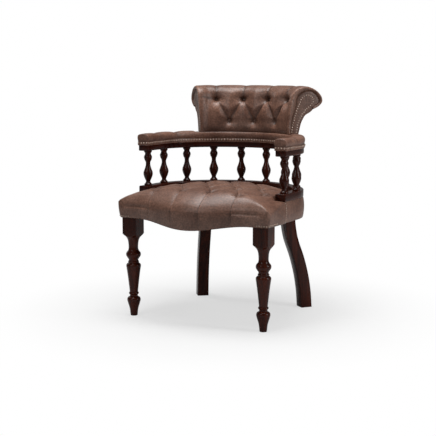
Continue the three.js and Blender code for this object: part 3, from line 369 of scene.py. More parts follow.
# %% Measures
BACK_RADIUS = 0.282
CORNER_RADIUS = 0.200
JOIN_ANGLE = math.radians(61.6)                         # where the two arcs meet
ARM_STRAIGHT = 0.103
HOOP_HALF = 0.019
SPINDLES = 10
SPINDLE_INSET = 0.0317                                  # from an arm's end to its first spindle

leg_low, leg_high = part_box("front_leg_right")
LEG_LINE = (leg_low.y + leg_high.y) / 2                 # line through the front legs' axes
LEG_X = (leg_low.x + leg_high.x) / 2
ARM_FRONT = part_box("lower_hoop")[0].y                   # front ends of both arms
LOWER_BOTTOM, LOWER_TOP = (corner.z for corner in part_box("lower_hoop"))
UPPER_BOTTOM, UPPER_TOP = (corner.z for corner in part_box("upper_hoop"))

HALF_WIDTH = (BACK_RADIUS - CORNER_RADIUS) * math.sin(JOIN_ANGLE) + CORNER_RADIUS
CORNER_X = HALF_WIDTH - CORNER_RADIUS
CORNER_Y = ARM_FRONT + ARM_STRAIGHT
CENTRE_Y = CORNER_Y - (BACK_RADIUS - CORNER_RADIUS) * math.cos(JOIN_ANGLE)
BACK_ARC = BACK_RADIUS * JOIN_ANGLE
CORNER_ARC = CORNER_RADIUS * (math.pi / 2 - JOIN_ANGLE)
HALF_LENGTH = BACK_ARC + CORNER_ARC + ARM_STRAIGHT
SPINDLE_PITCH = 2 * (HALF_LENGTH - SPINDLE_INSET) / (SPINDLES - 1)


def hoop_line(s, offset=0.0):
    """Plan points at distances s along the hoop line, and some offset outside it."""
    s, offset = np.broadcast_arrays(np.asarray(s, float), np.asarray(offset, float))
    far = np.abs(s)
    side = np.where(s < 0, -1.0, 1.0)
    back = far <= BACK_ARC
    angle = np.where(back, far / BACK_RADIUS,
                     np.minimum(JOIN_ANGLE + (far - BACK_ARC) / CORNER_RADIUS, math.pi / 2))
    radius = np.where(back, BACK_RADIUS, CORNER_RADIUS) + offset
    x = np.where(back, 0, CORNER_X) + radius * np.sin(angle)
    y = np.where(back, CENTRE_Y, CORNER_Y) + radius * np.cos(angle)
    y = y - np.maximum(far - BACK_ARC - CORNER_ARC, 0)
    return side * x, y


print(f"hoop line {2 * HALF_LENGTH:.3f} m, spindles every {SPINDLE_PITCH:.4f} m")

# %% [markdown]
# ## From mesh to piece
# Every piece ends the same way: it gets its finish, smooth shading except at real corners,
# the CAD nodes that it stands for hidden, and a place on the chair's one body.


# %% From mesh to piece
def object_from(name, bm):
    mesh = bpy.data.meshes.new(name)
    bm.to_mesh(mesh)
    bm.free()
    obj = bpy.data.objects.new(name, mesh)
    scene.collection.objects.link(obj)
    return obj


def finish_piece(obj, finish, replaces=(), smooth_angle=40):
    obj.data.materials.clear()
    obj.data.materials.append(finish)
    obj.data.polygons.foreach_set("use_smooth", [True] * len(obj.data.polygons))
    obj.data.set_sharp_from_angle(angle=math.radians(smooth_angle))
    if replaces:
        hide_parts(*replaces)
    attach(obj, "root")
    print(f"{obj.name}: {len(obj.data.polygons)} faces")
    return obj


def thicken(obj, thickness):
    """A wall behind the visible face, as deep as the hide."""
    wall = obj.modifiers.new("thickness", "SOLIDIFY")
    wall.thickness = thickness
    wall.offset = -1


print("piece helpers ready")

# %% [markdown]
# ## Swept grids
# Hoops, bands and stuffed leather could be carved from blocks, but each is a section carried
# along a line. So it starts as a flat grid, whose points are moved to their places, and
# edges that then lie together are welded. The grid's rows and columns give each point its
# value of wear and painted light, and its UV as well.

# %% Swept grids
PLAIN_WEAR = 0.6
WELD = 2e-5


def mapped_grid(places, proud=None, uv=None, cap=False):
    """Grid moved to places (rows x columns x 3) and welded, with a value of wear and painted light
    and a UV in metres.
    """
    rows, columns = places.shape[:2]
    bm = bmesh.new()
    bmesh.ops.create_grid(bm, x_segments=columns - 1, y_segments=rows - 1, size=0.5)
    wear_and_light = bm.verts.layers.float.new("proud")
    lines = bm.loops.layers.uv.new("UVMap")
    index = {}
    for vert in bm.verts:
        i = round((vert.co.y + 0.5) * (rows - 1))
        j = round((vert.co.x + 0.5) * (columns - 1))
        index[vert.index] = (i, j)
        vert.co = places[i, j]
        vert[wear_and_light] = PLAIN_WEAR if proud is None else float(proud[i, j])
    if uv is not None:
        for face in bm.faces:
            for loop in face.loops:
                loop[lines].uv = uv[index[loop.vert.index]]
    bmesh.ops.remove_doubles(bm, verts=bm.verts, dist=WELD)
    if cap:
        bmesh.ops.holes_fill(bm, edges=[edge for edge in bm.edges if edge.is_boundary])
    bmesh.ops.recalc_face_normals(bm, faces=bm.faces)
    return bm


def walked(line):
    """Distance walked along a line at each of its points."""
    steps = np.linalg.norm(np.diff(line, axis=0), axis=1)
    return np.concatenate([[0], np.cumsum(steps)])


def smooth_line(knots, steps=6):
    """Curve through the knots, with a few steps between each two."""
    knots = np.asarray(knots, float)
    ends = np.vstack([2 * knots[0] - knots[1], knots, 2 * knots[-1] - knots[-2]])
    line = [knots[0]]
    for a, b, c, d in zip(ends, ends[1:], ends[2:], ends[3:]):
        for t in np.linspace(0, 1, steps + 1)[1:]:
            line.append(0.5 * (2 * b + (c - a) * t + (2 * a - 5 * b + 4 * c - d) * t ** 2
                               + (3 * b - a - 3 * c + d) * t ** 3))
    return np.array(line)


def resample(line, count):
    """The same line with evenly spaced points."""
    line = np.asarray(line, float)
    far = walked(line)
    even = np.linspace(0, far[-1], count)
    return np.stack([np.interp(even, far, line[:, k]) for k in range(line.shape[1])], axis=1)


print("grid helpers ready, weld", WELD)

# %% [markdown]
# ## Spindles
# Ten turned balusters stand between the two hoops. On a lathe the shape is one profile, so
# here it is one line, spun. The bulb swells low down, and beads sit at the neck and the foot.
# Its neck is never thinner than a real one could be turned.

# %% Spindles
BALUSTER = [                                            # share of the height, radius in mm
    (0, 14.2), (0.035, 14.2), (0.05, 12.6), (0.085, 9.0), (0.115, 8.0), (0.15, 9.4),
    (0.2, 12.2), (0.26, 15.2), (0.33, 17.0), (0.39, 16.2), (0.45, 13.4), (0.52, 10.3),
    (0.58, 8.5), (0.635, 8.1), (0.67, 8.8), (0.7, 10.6), (0.725, 12.4), (0.745, 12.9),
    (0.77, 14.0), (0.8, 14.6), (0.83, 14.2), (0.86, 12.6), (0.885, 10.9), (0.91, 10.5),
    (0.93, 11.4), (0.955, 13.8), (0.965, 14.4), (1, 14.4),
]
NECK = 0.0075
SEATED = 0.0002                                         # how far each end sits in its hoop


def spun(profile, x, y, steps):
    """Body turned about a vertical axis from (height, radius) pairs."""
    bm = bmesh.new()
    line = [bm.verts.new((x + r, y, z)) for z, r in profile]
    edges = [bm.edges.new(pair) for pair in zip(line, line[1:])]
    bmesh.ops.spin(bm, geom=line + edges, cent=(x, y, 0), axis=(0, 0, 1), angle=2 * math.pi,
                   steps=steps, use_merge=True)
    bmesh.ops.remove_doubles(bm, verts=bm.verts, dist=1e-5)
    bmesh.ops.recalc_face_normals(bm, faces=bm.faces)
    return bm


shoulder = LOWER_TOP - SEATED
rise = UPPER_BOTTOM - LOWER_TOP + 2 * SEATED
curve = smooth_line([(shoulder + share * rise, r / 1000) for share, r in BALUSTER], 4)
curve[:, 1] = np.maximum(curve[:, 1], NECK)
profile = [(curve[0][0], 0), *map(tuple, curve), (curve[-1][0], 0)]
for number in range(SPINDLES):
    x, y = (float(v) for v in hoop_line(SPINDLE_PITCH * (number - (SPINDLES - 1) / 2)))
    spindle = object_from(f"turned_spindle_{number + 1:02d}", spun(profile, x, y, 36))
    finish_piece(spindle, turned_wood, [f"spindle_{number + 1:02d}"])

# %% [markdown]
# ## Front legs
# A turner leaves the top of the blank square and turns the rest. Spinning the profile and
# then pressing every point back inside the square blank gives the same rounded shoulders
# that a lathe cuts at the bottom of the block.

# %% Front legs
BLANK_HALF = 0.0282
BLANK_CORNER = 0.0386                                   # radius that reaches past its corners
POST_SHORT = 0.022                                      # the solid runs this much higher inside
LEG_PROFILE = [                                         # height and radius in mm
    (0, 11.6), (1.5, 12.4), (8, 13.3), (26, 15.5), (50, 22.6), (57, 24.0), (62, 23.4),
    (66, 20.8), (68.5, 16.6), (70, 14.6), (75, 14.2), (77, 15.6), (79.5, 17.6), (82.5, 17.6),
    (85, 15.6), (87, 14.8), (112, 17.4), (138, 20.4), (165, 24.0), (174, 25.4), (179, 26.2),
    (184, 25.6), (188, 22.8), (190.5, 19.4), (193, 19.2), (195.5, 19.8), (197.5, 18.2),
    (200, 16.9), (205, 18.4), (211, 22.6), (217, 25.8), (222, 26.3), (227, 25.2), (231, 22.4),
    (235, 19.4), (240, 17.5), (248, 17.0), (256, 17.3), (266, 18.3), (274, 20.2), (281, 23.6),
    (287, 28.6), (292, 34.5), (296, 38.4), (300, 38.6),
]
leg_curve = smooth_line([(z / 1000, r / 1000) for z, r in LEG_PROFILE], 4)
leg_curve[:, 0] = np.maximum(leg_curve[:, 0], 0)
leg_top = leg_high.z - POST_SHORT
leg_line = [(0, 0), *map(tuple, leg_curve), (leg_top, BLANK_CORNER), (leg_top, 0)]
SIDES = ((1, "right"), (-1, "left"))
for side, word in SIDES:
    bm = spun(leg_line, side * LEG_X, LEG_LINE, 72)
    for vert in bm.verts:
        for axis, middle in ((0, side * LEG_X), (1, LEG_LINE)):
            reach = vert.co[axis] - middle
            vert.co[axis] = middle + max(-BLANK_HALF, min(BLANK_HALF, reach))
    leg = object_from(f"turned_front_leg_{word}", bm)
    finish_piece(leg, turned_wood, [f"front_leg_{word}"], 35)

# %% [markdown]
# ## Back legs
# The back legs are sawn, not turned: square in section and bent like a sabre, outwards at
# the corners. A square is extruded along the curve, and its long edges are then softened.

# %% Back legs
LEG_ANGLE = math.radians(39)
SABRE_HALF = 0.021
SOFTENED = {"segments": 2, "profile": 0.5, "affect": "EDGES", "material": -1, "offset": 0.0016}
SABRE = [(0, 345), (61, 340), (125, 329), (190, 311), (254, 287.5), (303, 277), (350, 273),
         (424, 273)]                                    # height, distance from the back's centre
sabre = smooth_line(SABRE, 5) / 1000
for side, word in SIDES:
    out = Vector((side * math.sin(LEG_ANGLE), math.cos(LEG_ANGLE), 0))
    foot = Vector((0, CENTRE_Y, 0)) + out * sabre[0][1]
    bm = bmesh.new()
    place = Matrix.Translation(foot) @ Matrix.Rotation(-side * LEG_ANGLE, 4, "Z")
    bmesh.ops.create_grid(bm, x_segments=1, y_segments=1, size=SABRE_HALF, matrix=place)
    face = bm.faces[:][0]
    for number, (below, above) in enumerate(zip(sabre, sabre[1:])):
        made = bmesh.ops.extrude_face_region(bm, geom=[face])
        if number:
            bmesh.ops.delete(bm, geom=[face], context="FACES_ONLY")
        face = [item for item in made["geom"] if isinstance(item, bmesh.types.BMFace)][0]
        step = out * (above[1] - below[1]) + Vector((0, 0, above[0] - below[0]))
        bmesh.ops.translate(bm, vec=step, verts=face.verts)
    bmesh.ops.recalc_face_normals(bm, faces=bm.faces)
    upright = [e for e in bm.edges if abs(e.verts[0].co.z - e.verts[1].co.z) > 0.002]
    bmesh.ops.bevel(bm, geom=upright, **SOFTENED)
    leg = object_from(f"sabre_back_leg_{word}", bm)
    finish_piece(leg, turned_wood, [f"back_leg_{word}"], 30)

# %% [markdown]
# ## Hoops
# The two hoops are bent or sawn to the same line, with the same softened section. The
# section is carried along the line as a grid, closed on itself, and capped at both ends.

# %% Hoops
HOOP_CORNER = 0.0028


def rounded_section(half, bottom, top, radius, steps=4):
    """Closed section of (offset, height), with its corners rounded."""
    points = []
    corners = [(half - radius, bottom + radius, -90), (half - radius, top - radius, 0),
               (-half + radius, top - radius, 90), (-half + radius, bottom + radius, 180)]
    for x, z, start in corners:
        for k in range(steps + 1):
            angle = math.radians(start + 90 * k / steps)
            points.append((x + radius * math.cos(angle), z + radius * math.sin(angle)))
    return np.array(points + points[:1])


def along_hoop(section, stations):
    """Places of a section (offset, height) at each station, as a grid, with a UV in metres."""
    section = np.asarray(section)
    if section.ndim == 2:
        section = np.broadcast_to(section, (len(stations), *section.shape))
    s = np.broadcast_to(np.asarray(stations)[:, None], section.shape[:2])
    x, y = hoop_line(s, section[..., 0])
    around = np.broadcast_to(walked(section[0]), section.shape[:2])
    return np.stack([x, y, section[..., 1]], axis=2), np.stack([s, around], axis=2)


def hoop_stations(step, reach=HALF_LENGTH):
    count = int(math.ceil(2 * reach / step)) + 1
    return np.linspace(-reach, reach, count)


for word, bottom, top in (("lower", LOWER_BOTTOM, LOWER_TOP), ("upper", UPPER_BOTTOM, UPPER_TOP)):
    section = rounded_section(HOOP_HALF, bottom, top, HOOP_CORNER)
    places, uv = along_hoop(section, hoop_stations(0.008))
    bm = mapped_grid(places, uv=uv, cap=True)
    ends = [f for f in bm.faces if len(f.verts) > 4]
    bmesh.ops.bevel(bm, geom=list({edge for face in ends for edge in face.edges}), **SOFTENED)
    hoop = object_from(f"bent_{word}_hoop", bm)
    finish_piece(hoop, hoop_wood, [f"{word}_hoop"], 50)

# %% [markdown]
# ## Arm pad
# The leather of the arm pad laps over the hoop's edge and is nailed all round. Above the
# nails it draws in, then swells over the foam, and halfway between two spindles a sewn
# pleat pulls it down. Under the back rest it is pressed flat. One section is drawn in
# millimetres and carried along the hoop, lower where a pleat crosses it.

# %% Arm pad section
PAD_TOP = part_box("arm_pad_cover")[1].z
BACK_ANGLE = math.radians(43)                           # half of the back rest's turn
PAD_HALF = [                                            # mm from the hoop's line and its top
    (19.4, -5.6), (21.2, -5.4), (21.9, -3.8), (22.0, -1), (22.0, 3.2), (21.4, 6.8), (20.7, 9.6),
    (21.9, 13.4), (23.1, 18), (23.5, 22.5), (23.0, 27), (21.0, 31), (17.6, 33.8), (12.2, 35.4),
    (6, 36.2), (0, 36.5),
]
PLEAT_DEPTH, PLEAT_NIP, BILLOW, BILLOW_OUT = 5.2, 0.05, 1.2, 0.02
DRAWN_FROM, PRESSED_AT = 8, 32.2                        # mm above the hoop
UNDER_BACK = BACK_RADIUS * BACK_ANGLE


def pad_pleat(s):
    """How far a pleat pulls the pad in, 1 in the middle of the pleat."""
    away = s - SPINDLE_PITCH * np.round(s / SPINDLE_PITCH)
    crease = 0.55 * np.exp(-(away / 0.015) ** 2) + 0.45 * np.exp(-np.abs(away) / 0.003)
    return np.where(np.abs(s) < UNDER_BACK + 0.012, 0, crease)


half_line = smooth_line(PAD_HALF, 4)
full_line = np.vstack([half_line, (half_line * (-1, 1))[::-1][1:]])
stations = hoop_stations(0.0026)
pleat = pad_pleat(stations)
pressed = 1 - np.clip((np.abs(stations) - UNDER_BACK - 0.004) / 0.022, 0, 1) ** 2
billow = 0.5 - 0.5 * np.cos(2 * math.pi * stations / SPINDLE_PITCH)
sections = np.zeros((len(stations), len(full_line) + 1, 2))
for k, (offset, up) in enumerate(full_line):
    share = max(0, (up - DRAWN_FROM) / 28.5)
    raised = up - pleat * PLEAT_DEPTH * share ** 1.5 - pressed * max(0, up - PRESSED_AT)
    raised = raised + (billow - 0.7) * BILLOW * share * (1 - pressed)
    nip = (pleat * PLEAT_NIP - (billow - 0.6) * BILLOW_OUT) * max(0, min(1, (up - 9) / 8))
    sections[:, k, 0] = offset * (1 - nip) / 1000
    sections[:, k, 1] = UPPER_TOP + raised / 1000
sections[:, -1] = sections[:, 0]
print("arm pad of", len(stations), "sections,", int((pleat > 0.9).sum()), "of them on a pleat")

# %% [markdown]
# ## Arm pad's ends, wear and painted light
# Each front end is closed by rings that round over its edge and meet on the end's middle
# line, so the hide stays one even grid. It is rubbed lighter along its fullest line, with a
# painted highlight there, and painted darker in the pleats and where it is drawn in above
# the nails, as shade.

# %% Arm pad's ends, wear and painted light
END_ROUND = 0.0035
END_PUFF = 0.0008
PAD_REACH = 0.022


def pad_band(height, width):
    """1 on the pad at a height over the hoop, fading over a width."""
    return np.exp(-((sections[..., 1] - UPPER_TOP - height) / width) ** 2)


places, _ = along_hoop(sections, stations)
# Painted shade in the pleats and above the nails, and a painted highlight with rubbed wear along
# the fullest line.
proud = 0.64 - 0.5 * pleat[:, None] * np.clip((sections[..., 1] - UPPER_TOP - 0.008) / 0.02, 0, 1)
proud = proud + 0.12 * pad_band(0.024, 0.008)
proud = proud - 0.3 * pad_band(0.0096, 0.003)

flat = 1 - END_ROUND / PAD_REACH
end_steps = [(1 - END_ROUND / PAD_REACH * (1 - math.cos(turn)), END_ROUND * math.sin(turn))
             for turn in np.linspace(0, math.pi / 2, 6)[1:]]
end_steps += [(flat * (1 - share), END_ROUND + END_PUFF * math.sin(math.pi / 2 * share))
              for share in np.linspace(0, 1, 9)[1:]]


def end_rings(section, side):
    """Rings that close one end, from the section to the end's middle line."""
    made = []
    middle_z = UPPER_TOP + 0.016
    for keep, reach in end_steps:
        tall = 1 - 0.1 * min(1, (1 - keep) / 0.16)
        x = side * HALF_WIDTH + section[:, 0] * keep * side
        z = middle_z + (section[:, 1] - middle_z) * tall
        made.append(np.stack([x, np.full(len(x), ARM_FRONT - reach), z], axis=1))
    return np.array(made)


places = np.concatenate([end_rings(sections[0], -1)[::-1], places, end_rings(sections[-1], 1)])
proud = np.concatenate([[proud[0]] * len(end_steps), proud, [proud[-1]] * len(end_steps)])
arm_pad = object_from("arm_pad_leather", mapped_grid(places, proud=proud))
finish_piece(arm_pad, hide, ["arm_pad_cover"], 62)

# %% [markdown]
# ## Nail rows
# A decorative nail is a low dome about 7 mm across. Rows of them hold the leather's edges.
# Each row is one piece, and each dome only has a few dozen faces. Covered buttons are the
# same dome with more faces, so one helper makes both.


# %% Nail helper
def domes(name, spots, radius, height, around, rings):
    """Low domes at (place, outward direction) spots, as one object."""
    bm = bmesh.new()
    for place, out in spots:
        turn = Vector(out).to_track_quat("Z", "Y").to_matrix().to_4x4()
        squash = Matrix.Diagonal((1, 1, height / radius, 1))
        bmesh.ops.create_uvsphere(bm, u_segments=around, v_segments=rings, radius=radius,
                                  matrix=Matrix.Translation(Vector(place)) @ turn @ squash)
    return object_from(name, bm)


def nail_row(name, spots, radius=0.0034, height=0.0021):
    row = domes(name, spots, radius, height, 10, 6)
    return finish_piece(row, brass, smooth_angle=60)


def spaced(line, pitch):
    """Even places along a line of points, about a pitch apart."""
    return resample(line, max(2, int(round(walked(np.asarray(line, float))[-1] / pitch)) + 1))


print("nail helpers ready")

# %% [markdown]
# ## Arm pad nails
# One row runs round the outside of the pad and one round the inside, and four nails close
# each front end. The rows are spaced along their own lines, because the outer one is longer.

# %% Arm pad nails
NAIL_Z = UPPER_TOP + 0.0032
NAIL_PITCH = 0.0106
NAIL_OUT = 0.0221                                       # the leather's face from the hoop line
dense = np.linspace(-HALF_LENGTH + 0.004, HALF_LENGTH - 0.004, 800)
for word, side in (("outer", 1), ("inner", -1)):
    line = np.column_stack(hoop_line(dense, side * NAIL_OUT))
    far = walked(line)
    spots = []
    for walk in np.linspace(0, far[-1], len(spaced(line, NAIL_PITCH))):
        s = float(np.interp(walk, far, dense))
        x1, y1 = hoop_line(s, side * NAIL_OUT)
        x2, y2 = hoop_line(s, side * (NAIL_OUT + 0.01))
        spots.append(((float(x1), float(y1), NAIL_Z), (float(x2 - x1), float(y2 - y1), 0)))
    nail_row(f"arm_pad_nails_{word}", spots)
spots = [((side * HALF_WIDTH + offset, ARM_FRONT - 0.0038, NAIL_Z), (0, -1, 0))
         for side, _ in SIDES for offset in np.linspace(-0.016, 0.016, 4)]
nail_row("arm_pad_nails_ends", spots)

# %% [markdown]
# ## Seat
# The seat is one hide pulled over foam and wadding. Its plan is bowed at the front, has
# rounded front corners, and follows the lower hoop's inner face behind. The plan is drawn
# twice, at the seat's widest line and at its hem, and counted the same way, so that the hide
# can run from one to the other. Its points stand closer together at the front pleats.

# %% Seat plan
FRAME_HALF = HALF_WIDTH + 0.0137                        # half of the seat frame's width
BOW, BOW_HALF = 0.045, 0.225                            # depth and half width of the front's bow
LAP_Y = ARM_FRONT + 0.005                               # where the seat's hide meets the band
CONTACT = 0.001                                         # room between the hide and the hoop
PITCH_X, PITCH_Y = 0.107, 0.085                         # the buttons' diamond grid
FRONT_ROW = LEG_LINE + 0.003
FRONT_FACE = LEG_LINE - BLANK_HALF
PLEATS_X = (0.5 * PITCH_X, 1.5 * PITCH_X)
NEAR_PLEAT = np.array([-6, -4.5, -3, -2, -1.2, -0.6, 0, 0.6, 1.4, 2.6, 4.2]) / 1000
SWELL, NOSE, CORNER = (0.0108, 0.0045), (0.0185, 0.0085), (0.018, 0.010)    # widest line, hem
EVEN_TO = 0.17                                          # front points are spread out past this


def ease(value, low, high):
    """Smooth step from 0 at low to 1 at high."""
    t = np.clip((np.asarray(value, float) - low) / (high - low), 0, 1)
    return t * t * (3 - 2 * t)


def bow_share(x):
    return np.where(np.abs(x) < BOW_HALF, np.cos(np.pi * np.asarray(x) / (2 * BOW_HALF)) ** 2, 0.0)


def front_places(flat):
    """Places across half of the front edge, close together at the pleats."""
    base = np.linspace(0, flat, 62)
    fine = np.concatenate([x + NEAR_PLEAT for x in PLEATS_X])
    far = np.min(np.abs(base[:, None] - fine[None, :]), axis=1)
    return np.sort(np.concatenate([base[far > 0.0022], fine]))


def seat_plan(low):
    """Half of the plan's front and side, at the widest line, or at the hem when low is 1."""
    swell, nose, corner = (size[low] for size in (SWELL, NOSE, CORNER))
    wide, front = FRAME_HALF + swell, FRONT_FACE - nose
    flat = wide - corner
    xs = front_places(FRAME_HALF - 0.0105)
    spread = EVEN_TO + (xs - EVEN_TO) * (flat - EVEN_TO) / (xs[-1] - EVEN_TO)
    xs = np.where(xs > EVEN_TO, spread, xs)
    turn = np.linspace(0, math.pi / 2, 17)[1:-1]
    share = np.linspace(0, 1, 31)
    side = HALF_WIDTH + HOOP_HALF
    return np.vstack([
        np.column_stack([xs, front - BOW * bow_share(xs)]),
        np.column_stack([flat + corner * np.sin(turn), front + corner - corner * np.cos(turn)]),
        np.column_stack([wide + (side - wide) * ease(share, 0, 1),
                         front + corner + (LAP_Y - front - corner) * share])])


def whole_plan(low, inner_offset):
    """Right half from the middle of the nose to the middle of the back, then the left half."""
    front_half = seat_plan(low)
    behind = np.column_stack(hoop_line(np.linspace(HALF_LENGTH - 0.005, 0, 122), inner_offset))
    half = np.vstack([front_half, behind])
    left = (half * (-1, 1))[::-1]
    return np.vstack([half, left[1:-1], half[:1]]), len(front_half)


rim_plan, front_count = whole_plan(0, -HOOP_HALF - CONTACT)
low_plan, _ = whole_plan(1, -HOOP_HALF - CONTACT)
under_plan, _ = whole_plan(1, -0.006)                   # tucked in below the hoop
hoop_zone = np.zeros(len(rim_plan), bool)
hoop_zone[front_count:len(rim_plan) - front_count] = True
rim_x, rim_y = rim_plan[:, 0], rim_plan[:, 1]
print("seat plan of", len(rim_plan), "points,", f"{2 * rim_x.max():.3f} m wide")

# %% [markdown]
# ## The seat's pull
# Eighteen buttons in a diamond grid draw the hide down, and a pleat runs between each two
# that are next to each other. From the front row the pleats run on over the edge. Leather
# is tucked under itself at a pleat, so it has a soft bank on its left and a narrow lip on its
# right, in a wide shallow valley, and round each button it gathers in small rays. All of it
# is a depth over the plan, which a brush could paint too, but not as evenly.

# %% Buttons and pleats on the plan
seat_buttons = []
for row, keep in enumerate((4, 5, 4, 3, 2)):
    places_across = np.arange(keep) - (keep - 1) / 2
    seat_buttons += [(float(k) * PITCH_X, FRONT_ROW + row * PITCH_Y) for k in places_across]

seat_pleats = []                                        # from, to, width and sharpness
known = {(round(x, 3), round(y, 3)) for x, y in seat_buttons}
for ax, ay in seat_buttons:
    if ay < FRONT_ROW + 0.01:
        seat_pleats.append(((ax, ay), (ax, ay - 0.14), 0.5, 1.0))
    for dx in (0.5, -0.5):
        bx, by = ax + dx * PITCH_X, ay + PITCH_Y
        if (round(bx, 3), round(by, 3)) in known:
            seat_pleats.append(((ax, ay), (bx, by), 1.0, 1.0))
        elif bx * ax >= 0:
            beyond = (ax + 1.5 * dx * PITCH_X, ay + 1.5 * PITCH_Y)
            seat_pleats.append(((ax, ay), beyond, 1.0, 1.0))
for side, _ in SIDES:
    corner_button = (side * 1.5 * PITCH_X, FRONT_ROW)
    side_button = (side * 2 * PITCH_X, FRONT_ROW + PITCH_Y)
    seat_pleats.append((corner_button, (side * 0.275, LEG_LINE - 0.026), 0.75, 0.12))
    seat_pleats.append((side_button, (side * 0.27, LEG_LINE + 0.075), 0.5, 0.1))
print(len(seat_buttons), "seat buttons,", len(seat_pleats), "pleats")

# %% Depth of the pull
VALLEY_DEPTH, VALLEY_WIDTH = 0.0044, 0.018
TUCK_DEPTH, BANK_WIDTH, TUCK_WIDTH = 0.0036, 0.0085, 0.0024
BUTTON_DEPTH, BUTTON_WIDTH = 0.0062, 0.0135
RAY_DEPTH, RAYS = 0.0015, 7


def line_gap(x, y, a, b):
    """Distance from a line between two points, share along it, and which side it is on."""
    (ax, ay), (bx, by) = a, b
    t = ((x - ax) * (bx - ax) + (y - ay) * (by - ay)) / ((bx - ax) ** 2 + (by - ay) ** 2)
    t = np.clip(t, 0, 1)
    off_x, off_y = x - ax - t * (bx - ax), y - ay - t * (by - ay)
    return np.hypot(off_x, off_y), t, np.sign(off_x)


def fold(gap, side):
    """Tucked fold: the leather sinks towards it on the left, and its lip stands on the right."""
    return np.where(side < 0, np.exp(-gap / BANK_WIDTH), np.clip(1 - gap / TUCK_WIDTH, 0, 1) ** 1.4)


def seat_pull(x, y):
    """How deep buttons and pleats draw the hide, how far in a crease it is, and on a lip."""
    valley, tuck, crease, lip, button, rays = (np.zeros_like(x) for _ in range(6))
    for a, b, wide, sharp in seat_pleats:
        gap, _, side = line_gap(x, y, a, b)
        on_lip = sharp * np.exp(-((gap - 0.0034) / 0.0018) ** 2)
        valley = np.maximum(valley, wide * np.exp(-(gap / VALLEY_WIDTH) ** 2))
        tuck = np.maximum(tuck, sharp * fold(gap, side))
        crease = np.maximum(crease, sharp * np.exp(-gap / 0.002))
        lip = np.maximum(lip, np.where(side > 0, on_lip, 0))
    for number, (bx, by) in enumerate(seat_buttons):
        gap = np.hypot(x - bx, y - by)
        turn = np.arctan2(y - by, x - bx)
        button = np.maximum(button, np.exp(-(gap / BUTTON_WIDTH) ** 1.5))
        near = np.exp(-((gap - 0.016) / 0.009) ** 2)
        rays = rays + near * (0.5 + 0.5 * np.cos(RAYS * turn + 1.7 * number))
    depth = VALLEY_DEPTH * valley + TUCK_DEPTH * tuck + BUTTON_DEPTH * button + RAY_DEPTH * rays
    return depth, np.maximum(crease * 0.6, button), lip


print(f"buttons draw {BUTTON_DEPTH * 1000:.1f} mm, valleys {VALLEY_DEPTH * 1000:.1f} mm")

# %% [markdown]
# ## The seat's crown
# The stuffing is highest in the middle. Its front slope rises steeply over the first
# millimetres and then eases off, its flanks do the same across, and the two meet in a soft
# hip at each front corner. Beside the lower hoop the hide passes under the wood, so there
# its height can't be more than a line that climbs inwards from the hoop's lower face.

# %% Seat crown
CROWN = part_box("seat_cover")[1].z
FRAME_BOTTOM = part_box("seat_rail_right")[0].z
RIM_FRONT = FRAME_BOTTOM + 0.0395                       # height of the widest line in front
SEAT_HALF = float(rim_x.max())
FRONT_EDGE = float(rim_y[0]) + BOW
HIP = 0.055                                             # how softly the slopes meet
NOSE_STEEP, NOSE_SHARP, NOSE_REACH = 0.19, 0.0045, 0.048
FLANK_STEEP = 0.12


def rim_height(y):
    return RIM_FRONT + (LOWER_BOTTOM - 0.0032 - RIM_FRONT) * ease(y, FRONT_FACE, ARM_FRONT)


def soft_min(a, b, width):
    """The smaller of two, rounded where they are about equal."""
    return -np.log(np.exp(-a / width) + np.exp(-b / width)) * width


def inside_gap(x, y):
    """Distance inside the lower hoop's inner face, and distance ahead of its front ends."""
    x, y = np.abs(x), np.asarray(y, float)
    straight = HALF_WIDTH - x
    corner = CORNER_RADIUS - np.hypot(x - CORNER_X, y - CORNER_Y)
    back = BACK_RADIUS - np.hypot(x, y - CENTRE_Y)
    on_corner = (x - CORNER_X) * math.cos(JOIN_ANGLE) > (y - CORNER_Y) * math.sin(JOIN_ANGLE)
    line = np.where(y <= CORNER_Y, straight, np.where(on_corner, corner, back))
    return line - HOOP_HALF, ARM_FRONT - y


def seat_height(share, x, y, edge_y):
    """Height of the hide at a share of the way to the rim, with its creases and lips."""
    rim = rim_height(edge_y)
    inside = np.maximum(y - FRONT_EDGE + BOW * bow_share(x), 0)
    steep = NOSE_STEEP + 0.09 * ease(np.abs(x), 0.2, 0.27)
    reach = NOSE_REACH + 0.027 * bow_share(x)
    nose = steep * (1 - np.exp(-inside / NOSE_SHARP)) + (1 - steep) * np.tanh(inside / reach)
    on_flank = ease(edge_y, LEG_LINE - 0.04, LEG_LINE + 0.03)
    across = np.clip(share * on_flank + np.abs(x) / SEAT_HALF * (1 - on_flank), 0, 1)
    steep = FLANK_STEEP + 0.12 * (1 - ease(y, LEG_LINE, LEG_LINE + 0.08))
    flank = (1 - steep) * (1 - across ** 2.4) ** 0.85 + steep * (1 - across ** 20) ** 0.5
    full = soft_min(nose, flank, HIP) / soft_min(1.0, 1.0, HIP)
    pull, crease, lip = seat_pull(x, y)
    pull = pull * np.minimum(1, (1 - share) / 0.05 + 0.25) * (1 - 0.35 * ease(share, 0.5, 0.9))
    top = rim + (CROWN - rim) * full - pull

    beside, ahead = inside_gap(x, y)
    contact = LOWER_BOTTOM + 0.0004 + 0.018 * ease(y, ARM_FRONT - 0.002, ARM_FRONT + 0.13)
    scallop = 0.011 * crease * ease(y, ARM_FRONT + 0.02, ARM_FRONT + 0.1)
    rise = 0.045 * (1 - np.exp(-np.maximum(beside, 0) / 0.016)) + 0.24 * np.maximum(ahead, 0)
    top = soft_min(top, contact - scallop + rise, 0.0028)
    under = (beside < 0) & (ahead < 0)
    return np.where(under, np.minimum(top, LOWER_BOTTOM - 0.001), top), crease, lip


print(f"crown {CROWN - RIM_FRONT:.3f} m over the rim")

# %% [markdown]
# ## The seat's surface
# Rings run out from the middle to the widest line, and then down to the hem. In front of the
# buttons their points keep straight columns, so that a pleat there stays on one column.
# Over each front leg the leather folds in at the widest line and stands out in a lip below.

